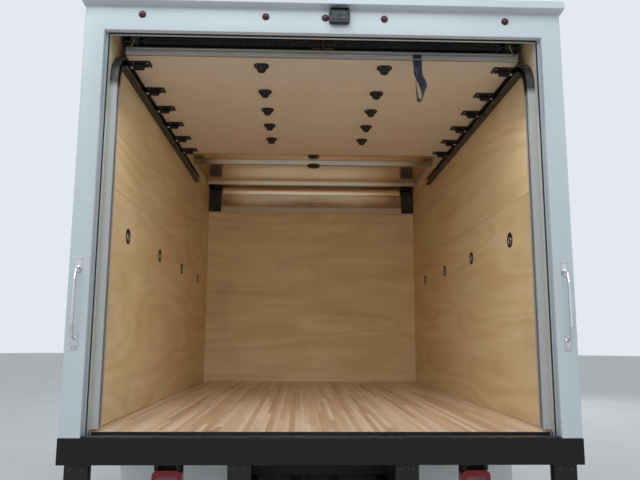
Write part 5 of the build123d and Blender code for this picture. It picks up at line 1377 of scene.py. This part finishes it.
# %% Rivets on the body
SHEET_JOINTS = (REAR + 1.29, REAR + 2.51)
RAIL_FACE, SKIN_FACE, CORNER = 1.2161, 1.2051, 1.135
nose = BODY_FRONT + 0.0001
lines = [((-1.12, nose, 2.885), (1.12, nose, 2.885), AHEAD)]
for side in BOTH:
    rail, skin, corner, way = side * RAIL_FACE, side * SKIN_FACE, side * CORNER, (side, 0, 0)
    for z, gap in ((2.912, 0.12), (2.934, 0.12), (0.893, 0.02), (0.912, 0.02)):
        lines.append(((rail, REAR + 0.09, z), (rail, BODY_FRONT - gap, z), way))
    rows = [joint + dy for joint, dy in product(SHEET_JOINTS, (-0.012, 0.012))]
    for y in (REAR + 0.085, REAR + 0.105, BODY_FRONT - 0.075, BODY_FRONT - 0.095, *rows):
        lines.append(((skin, y, 0.94), (skin, y, 2.90), way))
    lines.append(((corner, nose, 0.93), (corner, nose, 2.88), AHEAD))
rivets = heads_along("body_rivets", lines, body_paint, 0.05, 0.0052, 0.0024, smooth=40)
print("body rivets", len(rivets.data.polygons), "faces")

# %% Sheet joints and clearance lamps
SIDE_LAMPS_UP, CLEARANCE_UP = 0.857, 2.862
joints, bases, clearance, amber, red = drawings(5)
for side in BOTH:
    for y in SHEET_JOINTS:
        add_brick(joints, (side * 1.2058, y, 1.9315), (0.0024, 0.052, 2.011))
    for lamp, y in ((amber, BODY_FRONT - 0.16), (red, REAR + 0.16)):
        add_brick(bases, (side * 1.2205, y, SIDE_LAMPS_UP), (0.010, 0.064, 0.030))
        add_brick(lamp, (side * 1.2285, y, SIDE_LAMPS_UP), (0.009, 0.052, 0.022))
for x in (-1.10, -0.16, 0.0, 0.16, 1.10):
    add_plate(bases, (x, nose, CLEARANCE_UP), (0.110, 0.034), 0.010, -0.008)
    add_plate(clearance, (x, BODY_FRONT + 0.0080, CLEARANCE_UP), (0.092, 0.024), 0.009, -0.012)
make("sheet_joints", joints, body_paint, edge=(0.0008, 1))
make("lamp_bases", bases, trim_black, edge=(0.0015, 2))
make("clearance_lamps", clearance, lamp_amber, edge=(0.003, 3))
make("side_lamps_amber", amber, lamp_amber, edge=(0.003, 3))
make("side_lamps_red", red, lamp_red, edge=(0.003, 3))

# %% [markdown]
# ## The cab
# A ray that is sent at a solid finds the point where a small piece sits, and the way its surface
# faces. Seals, lamps, mouldings and wipers are laid on the cab in this way, so they follow its curves.

# %% Helpers that find places on the solids
def touch(name, start, way):
    """The point of a solid that a ray meets first, and the way its surface faces there."""
    hit, point, facing, _ = nodes[name].ray_cast(Vector(start), Vector(way))
    if not hit:
        raise ValueError(f"the ray from {start} misses {name}")
    return point, facing


def spot(name, start, way, lift=0.0, along=ACROSS):
    """A matrix that puts a small shape where a ray meets a solid, lifted off its surface."""
    point, facing = touch(name, start, way)
    return seated(point + facing * lift, facing, along)


def pane_border(name, facing):
    """The points around the outer face of a pane, in order and closed."""
    shape = bmesh.new()
    shape.from_mesh(nodes[name].data)
    bmesh.ops.remove_doubles(shape, verts=shape.verts, dist=0.00001)
    outer = {face for face in shape.faces if face.normal.dot(Vector(facing)) > 0.7}
    nearby = {}
    for edge in shape.edges:
        if sum(face in outer for face in edge.link_faces) == 1:
            for one, other in (edge.verts, reversed(edge.verts)):
                nearby.setdefault(one, []).append(other)
    start = before = here = next(iter(nearby))
    points = [start.co.copy()]
    while len(points) == 1 or here is not start:
        before, here = here, next(v for v in nearby[here] if v is not before)
        points.append(here.co.copy())
    shape.free()
    return points


def add_block(shape, placed, size):
    """Adds a box that stands on a place, given by its matrix."""
    add_brick(shape, (0, 0, size[2] / 2), size, placed)


# %% Seals round the panes and along the doors
LOCK = ((0, 0), (0.012, 0), (0.012, 0.002), (0.010, 0.0035), (0.0035, 0.0035), (0.003, 0.002), (0, 0.002))
tubes("windscreen_seal", [pane_border("windscreen", (0, 0.75, 0.66))], 0.008, seal_rubber)
for word, side in SIDES.items():
    door, way, lock = f"cab_door_{word}", (-side, 0, 0), bmesh.new()
    tubes(f"door_pane_seal_{word}", [pane_border(f"door_glass_{word}", (side, 0, 0))], 0.006, seal_rubber, door)
    belt = [touch(door, (side * 2, y, 1.203), way)[0] for y in (0.84, 1.1, 1.35, 1.6, 1.88)]
    tubes(f"door_belt_{word}", [belt], 0.0065, trim_black, door)
    add_turned(lock, spot(door, (side * 2, CAB + 0.215, 1.030), way), LOCK)
    make(f"door_lock_{word}", lock, polished_steel, body=door, smooth=40)
print("cab seals, belts and locks")

# %% Wipers and aerial
AERIAL_FOOT = ((0, -0.004), (0.02, -0.004), (0.02, 0.006), (0.008, 0.026), (0, 0.028))
WIPER_PIVOT = ((0, -0.012), (0.016, -0.012), (0.016, 0.008), (0.010, 0.014), (0, 0.014))
arms, blades, pivots = [], [], bmesh.new()
for pivot_x, first, last in ((-0.60, -0.66, -0.06), (0.02, -0.02, 0.58)):
    blade = []
    for n in range(7):
        point, facing = touch("windscreen", (first + (last - first) * n / 6, 3, 1.372 + 0.010 * n), BACK)
        blade.append(point + facing * 0.012)
    blades.append(blade)
    pivot = touch("windscreen", (pivot_x, 3, 1.352), BACK)[0] + Vector((0, 0.012, 0))
    bend = pivot.lerp(blade[3], 0.5) + Vector((0, 0.018, 0.012))
    arms.append([pivot, bend, blade[3] + Vector((0, 0.007, 0.004))])
    add_turned(pivots, seated(pivot - Vector((0, 0, 0.004)), (0, 0.66, 0.75)), WIPER_PIVOT)
tubes("wiper_blades", blades, 0.005, seal_rubber)
tubes("wiper_arms", arms, 0.0055, trim_black)
aerial = touch("fenders", (0.90, 2.36, 3), DOWN)[0]
tubes("aerial", [[aerial, aerial + Vector((0, -0.10, 0.62))]], 0.0022, polished_steel)
add_turned(pivots, seated(aerial, (0, -0.1, 1)), AERIAL_FOOT)
make("wiper_pivots", pivots, trim_black, smooth=40)

# %% Cab lamps
feet, domes, repeaters = drawings(3)
for x in (-0.62, -0.17, 0.0, 0.17, 0.62):
    above = (x, CAB + 0.72, 3)
    add_block(feet, spot("cab_shell", above, DOWN, -0.004), (0.13, 0.06, 0.010))
    add_dome(domes, spot("cab_shell", above, DOWN, 0.005), (0.055, 0.024, 0.024))
for side in BOTH:
    place = spot("fenders", (side * 2, 2.66, 0.93), (-side, 0, 0), -0.002, AHEAD)
    add_block(repeaters, place, (0.09, 0.03, 0.010))
make("roof_lamp_feet", feet, trim_black, edge=(0.004, 2))
make("roof_lamps", domes, lamp_amber, smooth=40)
make("fender_repeaters", repeaters, lamp_amber, edge=(0.004, 3))

# %% Headlamps
BULB = ((0, 0.002), (0.010, 0.002), (0.010, 0.030), (0.006, 0.036), (0, 0.038))
bowls, bulbs, ambers = drawings(3)
for side in BOTH:
    for x, radius in ((0.625, 0.070), (0.775, 0.060)):
        point = touch("headlamps", (side * x, 5, 0.865), BACK)[0]
        place = seated(point - Vector((0, 0.085, 0)), AHEAD)
        inner = [(radius * 0.96 * math.sqrt(t), 0.05 * t) for t in (1, 0.7, 0.45, 0.25, 0.12, 0.05, 0)]
        add_turned(bowls, place, [(0, -0.008), (0.03, -0.008), (radius, 0.045), (radius, 0.05), *inner])
        add_turned(bulbs, place, BULB, 16)
    add_block(ambers, spot("headlamps", (side * 0.885, 5, 0.865), BACK, -0.03), (0.075, 0.15, 0.012))
make("headlamp_bowls", bowls, lamp_chrome, smooth=40)
make("headlamp_bulbs", bulbs, lamp_clear, smooth=40)
make("headlamp_ambers", ambers, lamp_amber, edge=(0.003, 2))

# %% Fog lamps and a blank plate
FOG_RIM = ((0, -0.004), (0.052, -0.004), (0.052, 0.004), (0.044, 0.006), (0.043, 0), (0, 0))
FOG_LENS = ((0, 0.0005), (0.042, 0.0005), (0.042, 0.002), (0.03, 0.0055), (0.015, 0.007), (0, 0.0075))
rims, lenses, plate = drawings(3)
for side in BOTH:
    place = spot("front_bumper", (side * 0.72, 5, 0.54), BACK)
    add_turned(rims, place, FOG_RIM)
    add_turned(lenses, place, FOG_LENS)
make("fog_lamp_rims", rims, trim_black, smooth=40)
make("fog_lamp_lenses", lenses, lamp_clear, smooth=40)
add_plate(plate, (0, cad_box[1][1] - 0.0062, 0.540), (0.305, 0.152), 0.012, -0.0056)
make("blank_front_plate", plate, rail_paint)
print("cab lamps, fog lamps and a blank plate")

# %% Mirror panes
for word, side in SIDES.items():
    panes, x = bmesh.new(), side * 1.21
    for z, height in ((1.425, 0.235), (1.245, 0.075)):
        y = touch(f"mirror_{word}", (x, 0.5, z), AHEAD)[0].y
        add_plate(panes, (x, y + 0.0004, z), (0.150, height), 0.018, 0.0024)
    make(f"mirror_panes_{word}", panes, mirror_face, body=f"cab_door_{word}", edge=(0.0008, 1))

# %% Dials at the driver's place
TICKS, FIRST_TICK, TICK_STEP = 11, -40, 26
dials, rims, marks, vents = drawings(4)
for x, radius in ((-0.460, 0.035), (-0.340, 0.035), (-0.400, 0.014)):
    start, outer = (x, 1.2, 1.188), radius + 0.005
    dial = ((0, -0.003), (radius, -0.003), (radius, 0.0008), (0, 0.0008))
    rim = ((0, -0.003), (outer, -0.003), (outer, 0.003), (radius, 0.005), (radius, 0.0006), (0, 0.0006))
    for shape, profile in ((dials, dial), (rims, rim)):
        add_turned(shape, spot("dashboard", start, AHEAD), profile, 32)
    ticks = [(FIRST_TICK + TICK_STEP * n, 0.84, 0, (0.14, 0.0012, 0.0004)) for n in range(TICKS)]
    pointer = (FIRST_TICK, 0.36, 0.0006, (0.7, 0.0018, 0.0006))
    for angle, out, up, (long, wide, high) in (*ticks, pointer):
        place = spot("dashboard", start, AHEAD, 0.0008) @ Matrix.Rotation(math.radians(angle), 4, "Z")
        add_block(marks, place @ Matrix.Translation((radius * out, 0, up)), (radius * long, wide, high))

# %% Vents, knobs and stalks
VENT = ((0, -0.003), (0.040, -0.003), (0.040, 0.004), (0.033, 0.006), (0.032, 0.001), (0, 0.001))
KNOB = ((0, 0), (0.013, 0.003), (0.012, 0.018), (0, 0.019))
STALKS = (
    ((-0.43, 1.735, 1.105), (-0.50, 1.730, 1.117), (-0.565, 1.725, 1.125)),
    ((-0.37, 1.735, 1.115), (-0.29, 1.730, 1.140), (-0.215, 1.723, 1.180)),
)
for x in (-0.80, -0.155, 0.155, 0.80):
    point, facing = touch("dashboard", (x, 1.2, 1.090), AHEAD)
    add_turned(vents, seated(point, facing), VENT)
    for n in range(-2, 3):
        size = (0.058 - 0.006 * abs(n), 0.0025, 0.004)
        add_block(vents, seated(point + Vector((0, 0, 0.011 * n)), facing), size)
add_block(vents, spot("dashboard", (0, 1.2, 1.075), AHEAD, -0.002), (0.20, 0.055, 0.006))
point, facing = touch("dashboard", (0, 1.2, 1.075), AHEAD)
for x in (-0.085, 0.085):
    add_turned(rims, seated(point + Vector((x, 0, 0)), facing), KNOB, 20)
make("dial_faces", dials, trim_black)
make("dial_rims", rims, polished_steel, smooth=40)
make("dial_marks", marks, rail_paint)
make("dash_vents", vents, trim_black)
tubes("column_stalks", STALKS, 0.0065, trim_black)
print("dials, vents and stalks")

# %% [markdown]
# ## Under the body
# Bolts, U-bolts, dampers, coil springs and lines belong to the frame. They stand still beside it, so
# they ride on the chassis.

# %% Bolts and body mounts
lines = []
for side in BOTH:
    rail, way = side * 0.4321, (side, 0, 0)
    lines += [((rail, -2.85, z), (rail, 2.85, z), way) for z in (0.528, 0.632)]
    for x in (side * 0.360, side * 0.416, side * 1.102, side * 1.158):
        lines.append(((x, REAR + 0.0039, 0.690), (x, REAR + 0.0039, 0.760), BACK))
    lines.append(((side * 0.50, REAR + 0.8499, 0.765), (side * 1.12, REAR + 0.8499, 0.765), BACK))
heads_along("frame_bolts", lines, frame_black, 0.07, 0.0085, 0.006, smooth=40)
mounts, bolts = drawings(2)
for side, y in product(BOTH, (-2.55, -1.95, -0.55, 0.35)):
    corners = product((0,), (-0.025, 0.025), (-0.060, 0.060))
    add_brick(mounts, (side * 0.4355, y, 0.665), (0.007, 0.090, 0.160))
    add_screws(bolts, (side * 0.4435, y, 0.665), corners, (side, 0, 0), 0.011, 0.009, 6)
make("body_mounts", mounts, frame_black, edge=(0.0015, 1))
make("body_mount_bolts", bolts, zinc)
print("frame bolts and body mounts")

# %% U-bolts and dampers
U_BOLT = ((-0.043, 0.300), (-0.043, 0.494), (0, 0.499), (0.043, 0.494), (0.043, 0.300))
bolts = [
    [(side * 0.4985 + dx, REAR_AXLE + dy, z) for dx, z in U_BOLT] for side, dy in product(BOTH, (-0.075, 0.075))
]
tubes("spring_u_bolts", bolts, 0.0075, zinc)
dampers, rods = drawings(2)
for side in BOTH:
    low, high = [Vector((side * 0.395, REAR_AXLE + y, z)) for y, z in ((0.085, 0.345), (0.33, 0.590))]
    way = (high - low).normalized()
    add_bar(dampers, low + way * 0.095, way, 0.026, 0.16, 20)
    add_bar(dampers, high - way * 0.095, way, 0.032, 0.15, 20)
    for end in (low, high):
        add_bar(rods, end, ACROSS, 0.017, 0.046, 16)
    add_bar(rods, low.lerp(high, 0.5), way, 0.009, 0.30, 12)
make("dampers", dampers, tank_black, smooth=40)
make("damper_rods", rods, zinc, smooth=40)

# %% Front coil springs
coils, turns, steps, radius = [], 4.5, 96, 0.044
for x in (-0.5, 0.5):
    low = touch("front_axle", (x, FRONT_AXLE, 0.63), DOWN)[0].z + 0.007
    high = touch("springs", (x, FRONT_AXLE, 0.0), UP)[0].z - 0.007
    line = []
    for share in (n / steps for n in range(steps + 1)):
        angle = 2 * math.pi * turns * share
        y = FRONT_AXLE + radius * math.sin(angle)
        line.append((x + radius * math.cos(angle), y, low + (high - low) * share))
    coils.append(line)
    print("coil spring from", round(low, 3), "to", round(high, 3))
tubes("front_coils", coils, 0.0065, axle_iron)

# %% Lines and filler cap
LINES = (
    ((-1.02, 0.600), (0.10, 0.600), (0.16, 0.575), (1.60, 0.575), (1.70, 0.600), (2.02, 0.600)),
    ((0.93, 0.612), (1.65, 0.612), (1.75, 0.640), (2.10, 0.640)),
)
CAP = ((0, -0.002), (0.050, -0.002), (0.050, 0.012), (0.042, 0.014), (0.042, 0.030), (0.038, 0.034), (0, 0.034))
BESIDE_RAIL = -0.4375
tubes("brake_and_fuel_lines", [[(BESIDE_RAIL, y, z) for y, z in line] for line in LINES], 0.0042, dull_steel)
cap = bmesh.new()
add_turned(cap, spot("fuel_tank", (-2, 0.66, 0.585), ACROSS), CAP)
add_block(cap, spot("fuel_tank", (-2, 0.66, 0.585), ACROSS, 0.033), (0.060, 0.012, 0.008))
make("fuel_cap", cap, trim_black, edge=(0.002, 2))
print("lines and filler cap")

# %% [markdown]
# ## Rings in the tie-down dishes
# Each dish in the lining holds a steel ring that hangs on the dish's bar.

# %% Tie-down rings
DISH_X, RING_RADIUS = 1.0995, 0.0215
rings = []
for side, n in product(BOTH, range(4)):
    x, y, z = side * DISH_X, REAR + 0.565 + 0.840 * n, DECK + 1.026
    turns = (*circle(24), 2 * math.pi)
    rings.append([(x, y + RING_RADIUS * math.sin(a), z + RING_RADIUS * math.cos(a)) for a in turns])
tubes("tie_down_rings", rings, 0.0038, zinc)
print(len(rings), "tie-down rings")

# %% [markdown]
# ## Inside the cab
# A ribbed rubber mat covers the cab's floor. Pedals, sun visors, a mirror and door pulls complete what
# shows through the glass and the open doors.

# %% Mat and pedals
mat, pads, arms = bmesh.new(), bmesh.new(), []
mat_z = touch("cab_shell", (0.1, 1.30, 1.2), DOWN)[0].z
add_box(mat, (-0.860, 0.86, mat_z - 0.001), (0.860, 1.770, mat_z + 0.005))
make("cab_mat", mat, seal_rubber, edge=(0.003, 2))
ribs = [[(-0.84 + 0.06 * n, y, mat_z + 0.0045) for y in (0.90, 1.74)] for n in range(29)]
tubes("cab_mat_ribs", ribs, 0.0035, seal_rubber, sides=6)
for x, wide, high in ((-0.455, 0.075, 0.055), (-0.300, 0.045, 0.120)):
    wall = touch("cab_shell", (x, 1.80, 0.840), AHEAD)[0].y
    pad = Vector((x, max(1.805, wall - 0.115), 0.800))
    add_block(pads, seated(pad, (0, -0.85, 0.5)), (wide, high, 0.014))
    arms.append([pad, pad + Vector((0, 0.030, 0.050)), (x, wall + 0.004, 0.880)])
make("pedal_pads", pads, seal_rubber, edge=(0.004, 2))
tubes("pedal_arms", arms, 0.007, trim_black)

# %% Visors, mirror and door pulls
visors, pane, back = drawings(3)
for x in (-0.40, 0.40):
    point = touch("cab_shell", (x, 1.47, 1.80), UP)[0]
    add_block(visors, seated(point + Vector((0, 0, -0.012)), (0, -0.10, -1)), (0.42, 0.15, 0.018))
make("sun_visors", visors, dash_grey, edge=(0.007, 3))
add_plate(pane, (0, 1.6180, 1.845), (0.225, 0.050), 0.018, 0.0015)
add_plate(back, (0, 1.6400, 1.845), (0.245, 0.066), 0.024, 0.0220)
make("inner_mirror_pane", pane, mirror_face)
make("inner_mirror_back", back, trim_black, edge=(0.005, 3))
tubes("inner_mirror_stem", [[(0, 1.636, 1.850), (0, 1.655, 1.875), (0, 1.662, 1.884)]], 0.007, trim_black)
for word, side in SIDES.items():
    door, pull = f"cab_door_{word}", bmesh.new()
    add_block(pull, spot(door, (side * 0.5, 1.42, 0.98), (side, 0, 0), -0.002, AHEAD), (0.36, 0.060, 0.034))
    make(f"door_pull_{word}", pull, dash_grey, body=door, edge=(0.010, 3))
print("cab mat at", round(mat_z, 3))
